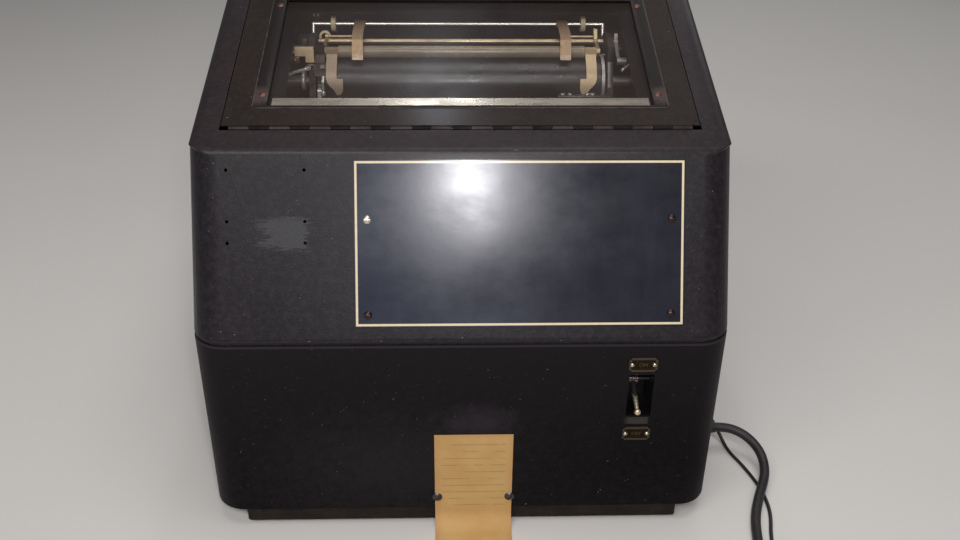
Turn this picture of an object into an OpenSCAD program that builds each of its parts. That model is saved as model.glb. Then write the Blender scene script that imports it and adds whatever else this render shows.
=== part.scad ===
// Receive-only page teleprinter in its sheet-metal cover.
// Millimetres, +Z up, the front faces -Y, and the machine stands on z = 0.
// Side-view outlines are drawn as [y, z] points and extruded along X.

/* [Cover] */
// Width over the cover's side walls
cover_w = 420; // [400:1:460]
// Depth from the lower front face to the back
cover_d = 460; // [450:1:500]
// Thickness of the cover's sheet steel
sheet = 1.6; // [1.2:0.1:2.4]
// Radius of the cover's upright corners and side edges
corner_r = 26; // [16:1:28]
// Radius of the side edges of the sloped top
top_edge_r = 10; // [6:1:20]
// Height of the cover's lower edge, where it sits on the base
skirt_z = 18; // [16:1:22]
// Height of the joint between the skirt and the top cover
joint_z = 182; // [176:1:186]
// Height of the shadow groove at the joint
groove_h = 4; // [3:0.5:6]
// Clearance between the neck and the skirt, and round other plain fits
slip = 0.3; // [0.2:0.05:0.5]

/* [Sloped Front And Top] */
// Depth of the bend between front panel and top slope
bend_y = 62; // [50:1:70]
// Height of the bend between front panel and top slope
bend_z = 318; // [312:1:322]
// Depth where the top slope turns flat
crown_y = 286; // [280:1:300]
// Height of the flat top
crown_z = 388; // [386:1:396]
// Depth where the flat top ends
crown_back_y = 374; // [350:1:390]
// Height where the back slope meets the upright back
back_z = 306; // [280:1:320]

/* [Window Lid] */
// Width of the fixed cover on each side of the lid
lid_side = 24; // [22:1:30]
// Distance up the slope from the bend to the hinge
hinge_s = 26.9; // [24:0.1:30]
// Distance up the slope from the bend to the lid's back edge
lid_back_s = 224; // [222:0.5:226]
// Gap round the lid's sides and back
lid_gap = 0.7; // [0.5:0.1:1.5]
// Width of the lid on each side of the window opening
window_side = 32.5; // [30:0.5:40]
// Distance up the slope to the window's lower edge
window_s = 55; // [52:0.5:58]
// Length of the window opening up the slope
window_l = 152; // [140:1:154]
// Width of the lip under the glass
lip_w = 11; // [8:0.5:12]
// Thickness of the glass
glass_t = 3; // [2:0.5:4]
// Width of the bright strip that holds the glass
strip_w = 11.5; // [9:0.5:14]
// Number of knuckles in the lid's long hinge
knuckles = 23; // [15:2:29]
// Outer radius of the hinge barrel
barrel_r = 2; // [1.6:0.1:2.2]

/* [Front Fittings] */
// Width of the blank sign plate
sign_w = 252; // [200:1:256]
// Height of the sign plate up the panel
sign_h = 127; // [110:1:128]
// Middle of the sign plate, right of the centre line
sign_x = 43.5; // [30:0.5:45]
// Distance from the sign's left edge to its screws
sign_screw_in = 10; // [8:0.5:14]
// Middle of the switch slot, right of the centre line
switch_x = 141; // [120:1:150]
// Height of the middle of the switch slot
switch_z = 133; // [125:1:140]
// Width of the switch slot
slot_w = 20; // [16:1:22]
// Height of the switch slot
slot_h = 41; // [38:1:44]
// Width of a switch label plate
label_w = 22.4; // [20:0.2:26]
// Height of a switch label plate
label_h = 13; // [11:0.5:14]
// Width of the hanging paper card
card_w = 64.5; // [60:0.5:70]
// Height of the card's upper edge
card_top = 95.6; // [90:0.2:100]

/* [Printing Unit] */
// Sideways offset of the printing unit from the cover's centre line
unit_x = 1.5; // [0:0.5:3]
// Space between each end of the platen and the side frame
frame_play = 5.5; // [5:0.5:8]
// Thickness of a side frame
frame_t = 5.5; // [4:0.5:7]
// Radius of the platen
platen_r = 22; // [20:0.5:22.5]
// Length of the platen
platen_l = 245; // [240:1:250]
// Radius of the platen's shaft
platen_shaft_r = 5; // [4:0.5:6]
// Radius of the pressure roller
roller_r = 5.3; // [4:0.1:5.4]
// How much shorter the pressure roller is than the platen, at each end
roller_short = 14.5; // [13:0.5:20]
// Radius of the brass finger bar
finger_bar_r = 2.5; // [2:0.1:3]
// Radius of the paper straightener's rod
straightener_r = 1.5; // [1.2:0.1:2]
// Radius of the cream collars on the straightener's rod
collar_r = 7; // [5:0.5:8]
// Distance of a collar's middle from the platen's end
collar_in = 9.6; // [8:0.2:12]
// Distance of a guide strap's middle from the platen's end
strap_in = 31.5; // [28:0.5:40]
// Radial clearance of a shaft in its bore
fit = 0.05; // [0.02:0.01:0.08]
// Number of teeth on the line feed ratchet
ratchet_teeth = 30; // [24:1:36]
// Number of type bars in the basket
type_bar_count = 23; // [15:2:27]
// Travel of the type carriage each way from the middle
carriage_travel = 91; // [80:1:92]

/* [Drive] */
// Teeth on the motor pinion
pinion_teeth = 14; // [12:1:16]
// Teeth on the main shaft's wheel
wheel_teeth = 56; // [48:1:60]
// Gear module
gear_m = 1.5; // [1.3:0.05:1.6]
// Radius of the motor's housing
motor_r = 42; // [38:1:44]

/* [Cords] */
// Diameter of the power cord
power_d = 8.5; // [8:0.5:9]
// Diameter of the signal cord
signal_d = 3.2; // [3:0.1:3.4]

/* [Hidden] */
$fn = 64;

// Where the model's origin lies: the middle of the footprint, card included
card_reach = 38;
center_y = (cover_d - card_reach) / 2;

// Cover outline
panel_y = 0;
panel_z = joint_z + groove_h + 2;
panel_lean = atan((bend_y - panel_y) / (bend_z - panel_z));
panel_len = norm([bend_y - panel_y, bend_z - panel_z]);
slope_a = atan((crown_z - bend_z) / (crown_y - bend_y));
neck_h = 10;
flange_w = 10;
pan_in = 2;
pan_side_in = 27;
pan_corner_r = 3;
pan_wall = 3;
foot_h = 4;
pan_floor = 7;
function outline(drop) = [
    [0, joint_z + groove_h - drop], [panel_y, panel_z], [bend_y, bend_z], [crown_y, crown_z],
    [crown_back_y, crown_z], [cover_d, back_z], [cover_d, joint_z + groove_h - drop]
];
bend_radii = [0, 6, 10, 40, 30, 30, 0];
edge_r = [corner_r, corner_r, top_edge_r, top_edge_r, top_edge_r, corner_r];
bend_steps = 5;
edge_steps = 7;

// Window lid
lid_w = cover_w - 2 * lid_side;
window_w = lid_w - 2 * window_side;
well_d = 7;
lip_t = 1.6;
hinge_n = -0.6;
hinge_len = lid_w - 13;
leaf_t = 1;
pin_r = 0.9;
knuckle_gap = 0.3;
lid_front_s = hinge_s + 3;
lid_flange_h = 7;
glass_n = -well_d + lip_t;
strip_t = 1.4;
glass_screw_x = window_w / 2 + 5;

// Front fittings
sign_s = 10;
sign_t = 1;
sign_screw_s = [19.3, 92];
spare_hole_x = [32 - cover_w / 2, 90.6 - cover_w / 2];
spare_hole_s = [74.5, 90.8, 129.6];
label_t = 0.8;
label_up = [30.4, -37.5];
rivet_off = 8.8;
switch_pivot_y = 20;
switch_pivot_z = switch_z + 3;
lever_x = switch_x - 3.3;
lever_len = 33;
lever_tilt = 18;
card_t = 0.5;
card_y = -0.35;
card_x = 8.8;
card_bend_r = 14;
card_screw_z = 29.7;
card_screw_in = 1.9;

// Printing unit: places of its shafts as [y, z]
platen_at = [225, 316.5];
roller_angle = 95.2;
roller_at = platen_at + (platen_r + roller_r + slip) * [cos(roller_angle), sin(roller_angle)];
finger_bar_at = [246, 346.3];
straightener_at = [262, 357.7];
bail_at = [258, 348];
spindle_at = [348, 290];
rail_at = [[152, 247], [190, 247]];
rail_r = 4;
detent_at = [207, 287];
selector_x = 85;
hammer_at = [230, 160];
gong_at = [262, 200];
tie_rods = [[145, 30], [305, 24], [270, 325], [268, 210]];
tie_rod_r = 5;
frame_gap = platen_l + 2 * frame_play;
frame_l = unit_x - frame_gap / 2;
frame_r = unit_x + frame_gap / 2;
shaft_l = frame_l - frame_t - 24.3;
shaft_r = frame_r + frame_t + 22.4;
ratchet_r = 16;
ratchet_t = 3.6;
ratchet_x = frame_l + 1.2;
roller_l = platen_l - 2 * roller_short;
finger_in = roller_l / 2 + 0.4;
block_w = 10.6;
finger_w = 9.2;
arm_in = finger_in + block_w;
arm_w = 3;
straightener_x = unit_x - 2.35;
leg_half = frame_gap / 2 + 3.45;
collar_x = platen_l / 2 - collar_in;
strap_x = platen_l / 2 - strap_in;
strap_w = 9.5;
strap_t = 1.2;
roller_axle_r = 2;
spindle_r = 4;
spool_y = 92;
spool_x = frame_gap / 2 - 24;
spool_r = 24;
spool_z = 236;
spool_h = 15;
spool_post_r = 3;
rack_t = 6;

// Drive
motor_at = [375, 74];
wheel_dz = 17.5;
shaft_distance = gear_m * (pinion_teeth + wheel_teeth) / 2;
wheel_at = [motor_at[0] - sqrt(shaft_distance * shaft_distance - wheel_dz * wheel_dz),
            motor_at[1] + wheel_dz];
motor_shaft_r = 4;
main_shaft_r = 5;
motor_x = [-112, 12];
gear_x = [26, 38];

// Cords: hand-chosen points along each route, in the frame of the cover's front
gland_z = 27;
power_gland_y = 92;
signal_gland_y = 122;
power_route = [
    [236, 92, 27], [240, 92, 27], [248.9, 90.8, 26.5], [257.2, 87.4, 25.2], [264.4, 81.9, 23],
    [269.9, 74.7, 20.2], [273.3, 66.4, 17.2], [274.3, 57.4, 14.2], [273, 47.4, 11.4], [269.2, 36.8, 9.3],
    [264, 26, 7.6], [259, 15, 6.2], [254.6, 4, 5], [251, -8, 4.5], [248.5, -20, 4.3],
    [246.5, -33, 4.3], [245.5, -46, 4.4], [245, -60, 4.7], [245, -74, 5], [245, -88, 5.2],
    [245, -102, 5.3], [245, -116, 5.3]
];
signal_route = [
    [222, 122, 27], [226, 122, 27], [231.2, 121.4, 25], [236.6, 119.4, 20.8], [241, 115.8, 15.4],
    [244.4, 111, 10.4], [246.8, 105.4, 6.6], [248.8, 98.6, 3.6], [250.8, 91, 1.9],
    [253.5, 82, 1.7], [257.5, 72, 1.7],
    [261, 61.5, 1.7], [264, 51, 1.7], [266.5, 40, 1.7], [268, 29, 1.7], [268.4, 18, 1.7],
    [267.6, 7, 1.7], [265.5, -4, 1.7], [262.5, -15, 1.7], [260, -26, 1.7], [258.2, -37, 1.8],
    [257.3, -48, 2], [257, -58, 2.4], [257, -66, 2.6], [257, -72, 2.6]
];
power_coil_r = 57;
power_turns = [2.5, 2.25];
signal_coil_r = 27;
signal_turns = [4, 3.75];
coil_side_gap = 0.5;
coil_layer_gap = 0.6;
power_tail = 56;
signal_tail = 26;
relief_l = 26;
bushing_l = 12;

// Helpers for side views and tilted faces

module stand() {
    translate([0, -center_y, 0]) children();
}

// Extrude a [y, z] outline along X from x0 to x1
module along_x(x0, x1) {
    translate([x0, 0, 0]) rotate([90, 0, 90]) linear_extrude(x1 - x0) children();
}

// A round bar along X at p = [y, z]
module bar(p, r, x0, x1) {
    translate([x0, p[0], p[1]]) rotate([0, 90, 0]) cylinder(r = r, h = x1 - x0);
}

// On the top slope: x across, y up the slope from the bend, z outward
module on_slope() {
    translate([0, bend_y, bend_z]) rotate([slope_a, 0, 0]) children();
}

// On the leaning front panel: x across, y up the panel, z outward
module on_panel() {
    translate([0, panel_y, panel_z]) rotate([90 - panel_lean, 0, 0]) children();
}

// On the upright lower front: x across, y up, z outward
module on_front() {
    rotate([90, 0, 0]) children();
}

module box_between(a, b) {
    translate(a) cube(b - a);
}

// A band of thickness t that follows the points of a side view
function unit(v) = v / norm(v);
function left_of(v) = [-v[1], v[0]];
function band_normal(pts, i) =
    let (a = unit(pts[max(i, 1)] - pts[max(i, 1) - 1]),
         b = unit(pts[min(i + 1, len(pts) - 1)] - pts[min(i + 1, len(pts) - 1) - 1]),
         n = left_of(a) + left_of(b))
    n * 2 / (n * n);
function band_points(pts, t) = concat(
    [for (i = [0:len(pts) - 1]) pts[i] + band_normal(pts, i) * t / 2],
    [for (i = [len(pts) - 1:-1:0]) pts[i] - band_normal(pts, i) * t / 2]);
module band(pts, t) {
    polygon(band_points(pts, t));
}
function arc(c, r, a0, a1, n) =
    [for (i = [0:n]) let (a = a0 + (a1 - a0) * i / n) c + r * [cos(a), sin(a)]];

// Rounded rectangle about the cover's middle in plan
module rounded_plan(w, d, r) {
    translate([0, cover_d / 2]) {
        square([w - 2 * r, d], center = true);
        square([w, d - 2 * r], center = true);
        for (sx = [-1, 1], sy = [-1, 1])
            translate([sx * (w / 2 - r), sy * (d / 2 - r)]) circle(r);
    }
}

// The cover in plan, drawn in by a distance
module plan(inset) {
    rounded_plan(cover_w - 2 * inset, cover_d - 2 * inset, corner_r - inset);
}

// The base in plan, which stands further in at the sides
module pan_plan(inset) {
    rounded_plan(cover_w - 2 * (pan_side_in + inset), cover_d - 2 * (pan_in + inset), pan_corner_r);
}

// Base

module base_pan() {
    color("#4a3d33") stand() difference() {
        translate([0, 0, foot_h]) linear_extrude(skirt_z - foot_h) pan_plan(0);
        translate([0, 0, pan_floor]) linear_extrude(skirt_z) pan_plan(pan_wall);
    }
}

module base_feet() {
    color("#1b1b1b") stand()
        for (sx = [-1, 1], y = [45, cover_d - 45]) translate([sx * (cover_w / 2 - 45), y, 0]) {
            cylinder(r1 = 13, r2 = 15, h = foot_h);
        }
}

// Cover skirt: open box with a turned-in flange that rests on the pan

module cover_skirt() {
    color("#26262a") stand() difference() {
        translate([0, 0, skirt_z]) linear_extrude(joint_z - skirt_z) plan(0);
        translate([0, 0, skirt_z + sheet]) linear_extrude(joint_z) plan(sheet);
        translate([0, 0, skirt_z - 1]) linear_extrude(joint_z) pan_plan(flange_w - pan_in);
        on_front() translate([switch_x - slot_w / 2, switch_z - slot_h / 2, -sheet - 1])
            cube([slot_w, slot_h, sheet + 2]);
        for (x = card_screw_xs()) translate([x, -1, card_screw_z]) rotate([-90, 0, 0])
            cylinder(r = 1.6 + fit, h = sheet + 2);
        for (g = [[power_gland_y, 6.5], [signal_gland_y, 4]])
            bar([g[0], gland_z], g[1] + fit, cover_w / 2 - sheet - 2, cover_w / 2 + 2);
    }
}

// Top cover: a loft of the side outline, drawn in towards the sides to round every edge

function right_normal(a, b) = let (t = unit(b - a)) [t[1], -t[0]];
function edge_normals(v) = [for (i = [0:len(v) - 2]) right_normal(v[i], v[i + 1])];
function normal_angle(n) = let (a = atan2(n[1], n[0])) a > 1 ? a - 360 : a;
function off_both(n1, n2, d1, d2) =
    let (k = n1 * n2) ((d1 - d2 * k) * n1 + (d2 - d1 * k) * n2) / (1 - k * k);
function rounded_corner(v, n, i, d1, d2) =
    let (r = max(bend_radii[i] - (d1 + d2) / 2, 0.4),
         c = v[i] + off_both(n[i - 1], n[i], d1 + r, d2 + r),
         a0 = normal_angle(n[i - 1]),
         a1 = normal_angle(n[i]))
    [for (k = [0:bend_steps]) let (a = a0 + (a1 - a0) * k / bend_steps) c - r * [cos(a), sin(a)]];
function edge_x(i, a, inset) = cover_w / 2 - edge_r[i] + (edge_r[i] - inset) * sin(a);
function edge_in(i, a, inset) = inset + (edge_r[i] - inset) * (1 - cos(a));
function ring(side, a, inset, drop) =
    let (v = outline(drop), n = edge_normals(v), e = len(v) - 1,
         first = v[0] + n[0] * edge_in(0, a, inset),
         last = v[e] + n[e - 1] * edge_in(e - 1, a, inset))
    concat([[side * edge_x(0, a, inset), first[0], first[1]]],
           [for (i = [1:e - 1])
               let (c = rounded_corner(v, n, i, edge_in(i - 1, a, inset), edge_in(i, a, inset)),
                    x0 = edge_x(i - 1, a, inset),
                    x1 = edge_x(i, a, inset))
               for (k = [0:bend_steps]) [side * (x0 + (x1 - x0) * k / bend_steps), c[k][0], c[k][1]]],
           [[side * edge_x(e - 1, a, inset), last[0], last[1]]]);

module dome(inset, drop) {
    rings = concat([for (k = [edge_steps:-1:0]) ring(-1, 90 * k / edge_steps, inset, drop)],
                   [for (k = [0:edge_steps]) ring(1, 90 * k / edge_steps, inset, drop)]);
    n = len(rings[0]);
    m = len(rings);
    points = [for (ring = rings) for (p = ring) p];
    sides = [for (j = [0:m - 2]) for (i = [0:n - 1]) let (k = (i + 1) % n)
        each [[j * n + i, j * n + k, (j + 1) * n + i], [j * n + k, (j + 1) * n + k, (j + 1) * n + i]]];
    caps = [[for (i = [n - 1:-1:0]) i], [for (i = [0:n - 1]) (m - 1) * n + i]];
    polyhedron(points, concat(sides, caps));
}

// Turned-down edge of the lid opening with a lip that the closed lid rests over
module lid_rest() {
    out_x = lid_w / 2 + lid_gap;
    back_s = lid_back_s + lid_gap;
    lip_n = -lid_flange_h - slip;
    for (sx = [-1, 1]) {
        translate([sx * (out_x + sheet / 2), 0, 0])
            box_between([-sheet / 2, lid_front_s + 14, lip_n - sheet],
                        [sheet / 2, back_s + sheet, -sheet / 2]);
        translate([sx * (out_x - 3), 0, 0])
            box_between([-4, lid_front_s + 14, lip_n - sheet], [4, back_s + sheet, lip_n]);
    }
    box_between([-out_x - sheet, back_s, lip_n - sheet], [out_x + sheet, back_s + sheet, -sheet / 2]);
    box_between([-out_x - sheet, back_s - 7, lip_n - sheet], [out_x + sheet, back_s + sheet, lip_n]);
}

module cover_top() {
    neck_in = sheet + slip;
    ledge_z = joint_z + groove_h;
    color("#2b2b2f") stand() {
        difference() {
            dome(0, 10);
            dome(sheet, 12);
            translate([-cover_w, -cover_w / 2, 0]) cube([2 * cover_w, 2 * cover_d, ledge_z]);
            on_slope() translate([-lid_w / 2 - lid_gap, hinge_s - 2.6, -30])
                cube([lid_w + 2 * lid_gap, lid_back_s + lid_gap - hinge_s + 2.6, 60]);
            on_panel() for (x = spare_hole_x, s = spare_hole_s)
                translate([x, s, -4]) cylinder(r = 1.3, h = 8, $fn = 16);
            on_panel() for (x = sign_screw_xs(), s = sign_screw_s)
                translate([x, s, -4]) cylinder(r = 1.5 + fit, h = 8, $fn = 16);
        }
        difference() {
            translate([0, 0, joint_z - neck_h]) linear_extrude(neck_h + groove_h + sheet / 2) plan(neck_in);
            translate([0, 0, joint_z - neck_h - 1]) linear_extrude(neck_h + groove_h + sheet + 2)
                plan(neck_in + sheet);
        }
        on_slope() lid_rest();
        difference() {
            translate([0, 0, ledge_z]) linear_extrude(sheet) plan(sheet / 2);
            translate([0, 0, ledge_z - 1]) linear_extrude(sheet + 2) plan(neck_in + sheet / 2);
        }
    }
}

// Long hinge of the window lid

function knuckle_pitch() = hinge_len / knuckles;
function knuckle_x(i) = -hinge_len / 2 + i * knuckle_pitch();

module knuckle_row(first, web_from, web_to) {
    difference() {
        for (i = [first:2:knuckles - 1]) {
            translate([knuckle_x(i) + knuckle_gap / 2, hinge_s, hinge_n]) rotate([0, 90, 0])
                cylinder(r = barrel_r, h = knuckle_pitch() - knuckle_gap, $fn = 32);
            box_between([knuckle_x(i) + knuckle_gap / 2, web_from, hinge_n - barrel_r],
                        [knuckle_x(i + 1) - knuckle_gap / 2, web_to, hinge_n - barrel_r + leaf_t]);
        }
        translate([-hinge_len / 2 - 1, hinge_s, hinge_n]) rotate([0, 90, 0])
            cylinder(r = pin_r + fit, h = hinge_len + 2, $fn = 32);
    }
}

module hinge_cover_leaf() {
    leaf_n = hinge_n - barrel_r;
    color("#33332f") stand() on_slope() {
        knuckle_row(0, hinge_s - 3, hinge_s);
        box_between([-hinge_len / 2, 12, leaf_n], [hinge_len / 2, hinge_s - 2.8, leaf_n + leaf_t]);
    }
}

module hinge_lid_leaf() {
    leaf_n = hinge_n - barrel_r;
    color("#33332f") stand() on_slope() {
        knuckle_row(1, hinge_s, lid_front_s + 0.2);
        box_between([-hinge_len / 2, lid_front_s, leaf_n],
                    [hinge_len / 2, lid_front_s + 14, leaf_n + leaf_t]);
    }
}

module hinge_pin() {
    color("silver") stand() on_slope()
        translate([-hinge_len / 2, hinge_s, hinge_n]) rotate([0, 90, 0])
            cylinder(r = pin_r, h = hinge_len, $fn = 32);
}

// Window lid: flanged pan with a sunk well and lip for the glass

module window_block(grow, n0, n1) {
    box_between([-window_w / 2 - grow, window_s - grow, n0],
                [window_w / 2 + grow, window_s + window_l + grow, n1]);
}

module window_lid() {
    color("#2d2d31") stand() on_slope() difference() {
        union() {
            box_between([-lid_w / 2, lid_front_s, -sheet], [lid_w / 2, lid_back_s, 0]);
            for (sx = [-1, 1]) translate([sx * (lid_w / 2 - sheet / 2), 0, 0])
                box_between([-sheet / 2, lid_front_s + 18, -lid_flange_h],
                            [sheet / 2, lid_back_s, -sheet / 2]);
            box_between([-lid_w / 2, lid_back_s - sheet, -lid_flange_h], [lid_w / 2, lid_back_s, -sheet / 2]);
            window_block(sheet, -well_d, 0);
        }
        window_block(0, glass_n, 1);
        window_block(-lip_w, -well_d - 1, 1);
        for (x = [-1, 1], s = glass_screw_s())
            translate([x * glass_screw_x, s, -10]) cylinder(r = 1.5 + fit, h = 12, $fn = 16);
    }
}

function glass_screw_s() = [window_s + 14, window_s + window_l - 9];

module window_glass() {
    color("#b8c4c8", 0.3) stand() on_slope()
        box_between([-window_w / 2 + slip, window_s + slip, glass_n],
                    [window_w / 2 - slip, window_s + window_l - slip, glass_n + glass_t]);
}

module glass_strip() {
    top_n = glass_n + glass_t;
    color("#cfcabd") stand() on_slope() along_x(-window_w / 2 + 3, window_w / 2 - 3)
        polygon([[window_s + slip, top_n], [window_s + strip_w, top_n],
                 [window_s + strip_w - 0.8, top_n + strip_t], [window_s + slip, top_n + strip_t]]);
}

module glass_screws() {
    color("#9a5a3a") stand() on_slope() for (x = [-1, 1], s = glass_screw_s())
        translate([x * glass_screw_x, s, 0]) {
            translate([0, 0, -sheet - 2]) cylinder(r = 1.5, h = sheet + 2.2, $fn = 16);
            intersection() {
                translate([0, 0, -3.6]) sphere(r = 5, $fn = 32);
                cylinder(r = 4, h = 3, $fn = 32);
            }
        }
}

// Sign plate, switch and card

function sign_screw_xs() = [sign_x - sign_w / 2 + sign_screw_in, sign_x + sign_w / 2 - sign_screw_in];
function card_screw_xs() = [card_x - card_w / 2 + card_screw_in, card_x + card_w / 2 - card_screw_in];

module sign_plate() {
    color("#1c2233") stand() on_panel() difference() {
        box_between([sign_x - sign_w / 2, sign_s, 0], [sign_x + sign_w / 2, sign_s + sign_h, sign_t]);
        for (x = sign_screw_xs(), s = sign_screw_s)
            translate([x, s, -1]) cylinder(r = 1.5 + fit, h = 4, $fn = 16);
    }
}

module sign_screws() {
    color("#b9a58c") stand() on_panel() for (x = sign_screw_xs(), s = sign_screw_s)
        translate([x, s, 0]) {
            translate([0, 0, -3]) cylinder(r = 1.5, h = 3 + sign_t + 0.2, $fn = 16);
            translate([0, 0, sign_t]) difference() {
                intersection() {
                    translate([0, 0, -2.4]) sphere(r = 4, $fn = 32);
                    cylinder(r = 3.2, h = 3, $fn = 32);
                }
                translate([-4, -0.35, 0.9]) cube([8, 0.7, 2]);
            }
        }
}

module switch_plates() {
    color("#5a4a30") stand() on_front() for (up = label_up)
        translate([switch_x, switch_z + up, 0]) difference() {
            translate([-label_w / 2, -label_h / 2, 0]) cube([label_w, label_h, label_t]);
            for (sx = [-1, 1]) {
                translate([sx * rivet_off, 0, -1]) cylinder(r = 1 + fit, h = 3, $fn = 16);
                for (ty = [-1, 1]) translate([sx * label_w / 2, ty * label_h / 2, -1])
                    cylinder(r = 2, h = 3, $fn = 24);
            }
        }
}

module plate_rivets() {
    color("#d8d2c2") stand() on_front() for (up = label_up, sx = [-1, 1])
        translate([switch_x + sx * rivet_off, switch_z + up, 0]) {
            cylinder(r = 1, h = label_t + 0.2, $fn = 16);
            translate([0, 0, label_t]) intersection() {
                translate([0, 0, -0.6]) sphere(r = 2, $fn = 32);
                cylinder(r = 1.9, h = 2, $fn = 32);
            }
        }
}

// Open-fronted switch box behind the slot, with the lever's pivot pin across it
module switch_body() {
    wall = 2;
    box_w = slot_w + 10;
    box_h = slot_h + 10;
    box_d = 34;
    color("#141414") stand() translate([switch_x, sheet, switch_z]) {
        difference() {
            translate([-box_w / 2, 0, -box_h / 2]) cube([box_w, box_d, box_h]);
            translate([-slot_w / 2, -1, -slot_h / 2]) cube([slot_w, box_d - wall, slot_h]);
        }
        translate([-slot_w / 2 - 1, switch_pivot_y - sheet, switch_pivot_z - switch_z])
            rotate([0, 90, 0]) cylinder(r = 2, h = slot_w + 2);
    }
}

module switch_lever() {
    hub_w = 8;
    color("#c9c4b8") stand() translate([lever_x, switch_pivot_y, switch_pivot_z])
        rotate([lever_tilt, 0, 0]) difference() {
            union() {
                translate([-hub_w / 2, 0, 0]) rotate([0, 90, 0]) cylinder(r = 4.5, h = hub_w);
                rotate([90, 0, 0]) cylinder(r1 = 2.4, r2 = 1.5, h = lever_len);
                translate([0, -lever_len, 0]) sphere(r = 2.6);
            }
            translate([-hub_w, 0, 0]) rotate([0, 90, 0]) cylinder(r = 2 + fit, h = 2 * hub_w);
        }
}

module info_card() {
    bend_c = [card_y - card_bend_r, card_bend_r + 0.4];
    path = concat([[card_y, card_top]], arc(bend_c, card_bend_r, 0, -90, 8),
                  [[-card_reach, 0.4]]);
    color("#c9a86a") stand() difference() {
        along_x(card_x - card_w / 2, card_x + card_w / 2) band(path, card_t);
        for (x = card_screw_xs()) translate([x, 1, card_screw_z]) rotate([90, 0, 0])
            cylinder(r = 1.8, h = 4, $fn = 24);
    }
}

module card_screws() {
    front = card_y - card_t / 2;
    color("#3a2d26") stand() for (x = card_screw_xs()) translate([x, 0, card_screw_z]) rotate([90, 0, 0]) {
        translate([0, 0, -sheet - 4]) cylinder(r = 1.6, h = sheet + 4.2 - front, $fn = 24);
        translate([0, 0, -front]) difference() {
            intersection() {
                translate([0, 0, -3.4]) sphere(r = 5.6, $fn = 32);
                cylinder(r = 4.2, h = 3, $fn = 32);
            }
            rotate([0, 0, 30]) translate([-5, -0.45, 1.3]) cube([10, 0.9, 2]);
        }
    }
}

// Side frames of the printing unit

frame_outline = [
    [125, pan_floor], [330, pan_floor], [330, 60], [286, 110], [286, 350], [252, 352], [240, 356],
    [226, 356], [216, 350.5], [216, 337], [205, 318], [198, 300], [190, 280], [135, 280], [135, 110],
    [125, 60]
];

// pocket_x is the place across the plate of a shallow pocket for the straightener's leg
module side_frame(x0, flange_x0, flange_x1, pocket_x) {
    difference() {
        union() {
            along_x(x0, x0 + frame_t) polygon(frame_outline);
            along_x(flange_x0, flange_x1) translate([125, pan_floor]) square([205, 4]);
        }
        bar(platen_at, platen_shaft_r + fit, x0 - 1, x0 + frame_t + 1);
        bar(finger_bar_at, finger_bar_r + fit, x0 - 1, x0 + frame_t + 1);
        bar(bail_at, straightener_r + fit, x0 - 1, x0 + frame_t + 1);
        box_between([pocket_x - 4, bail_at[0] - 6, bail_at[1] - 5], [pocket_x, bail_at[0] + 12, 360]);
        for (p = [[170, 150], [225, 130], [230, 250], [262, 100], [170, 90]])
            bar(p, 16, x0 - 1, x0 + frame_t + 1);
    }
}

module side_frame_left() {
    x0 = frame_l - frame_t;
    leg = straightener_x - leg_half;
    color("#3c3c3e") stand() {
        side_frame(x0, x0 - 14, x0 + 1, leg + straightener_r + slip);
        bar(detent_at, 2.5, frame_l - 1, ratchet_x + ratchet_t + 0.6);
        bar(hammer_at, 2.5, x0 - 16, x0 + 1);
        difference() {
            translate([x0 - 12, finger_bar_at[0] - 6, finger_bar_at[1] - 5]) cube([13, 9.5, 10.5]);
            bar(finger_bar_at, finger_bar_r + fit, x0 - 14, x0 + 2);
        }
        translate([frame_l - 4.2, 276, 350]) cylinder(r = 2.3, h = 12);
        translate([frame_l - 4.2, 276, 361.5]) cylinder(r = 4.3, h = 2.5);
    }
}

module side_frame_right() {
    leg = straightener_x + leg_half;
    color("#3c3c3e") stand()
        side_frame(frame_r, frame_r + frame_t - 1, frame_r + frame_t + 14, leg + straightener_r + slip);
}

module frame_tie_rods() {
    color("#8f8f8c") stand() for (p = tie_rods) bar(p, tie_rod_r, frame_l, frame_r);
}

// Platen and what turns with it

module platen() {
    color("#1d1d1f") stand() difference() {
        bar(platen_at, platen_r, unit_x - platen_l / 2, unit_x + platen_l / 2);
        bar(platen_at, platen_shaft_r + fit, unit_x - platen_l / 2 - 1, unit_x + platen_l / 2 + 1);
    }
}

// Stepped shaft: a thinner end for the nut on the left and for the crank on the right
module platen_shaft() {
    color("#a9a7a2") stand() {
        bar(platen_at, 3, shaft_l - 7, shaft_l + 1);
        bar(platen_at, platen_shaft_r, shaft_l, shaft_r);
        bar(platen_at, platen_shaft_r + 1.6, shaft_l + 15.2, shaft_l + 19);
        bar(platen_at, 2.2, shaft_r - 1, shaft_r + 6);
    }
}

// Saw-toothed wheel that the line feed pushes round
module line_feed_ratchet() {
    n = ratchet_teeth;
    depth = 1.8;
    color("#8c8a84") stand() difference() {
        translate([ratchet_x, platen_at[0], platen_at[1]]) rotate([90, 0, 90])
            linear_extrude(ratchet_t)
                polygon([for (i = [0:n - 1]) each [
                    ratchet_r * [cos(360 * i / n), sin(360 * i / n)],
                    (ratchet_r - depth) * [cos(360 * (i + 0.2) / n), sin(360 * (i + 0.2) / n)]]]);
        bar(platen_at, platen_shaft_r + fit, ratchet_x - 1, ratchet_x + ratchet_t + 1);
    }
}

// Nut with a grooved rim at the shaft's left end
module platen_hub() {
    rim = 24;
    color("#b08d3e") stand() difference() {
        union() {
            translate([shaft_l - 6.4, platen_at[0], platen_at[1]]) rotate([90, 0, 90]) linear_extrude(4.6)
                polygon([for (i = [0:2 * rim - 1]) (i % 2 == 0 ? 6 : 5.5) * [cos(180 * i / rim), sin(180 * i / rim)]]);
            bar(platen_at, 4.9, shaft_l - 2, shaft_l);
        }
        bar(platen_at, 3 + fit, shaft_l - 8, shaft_l + 1);
    }
}

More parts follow.
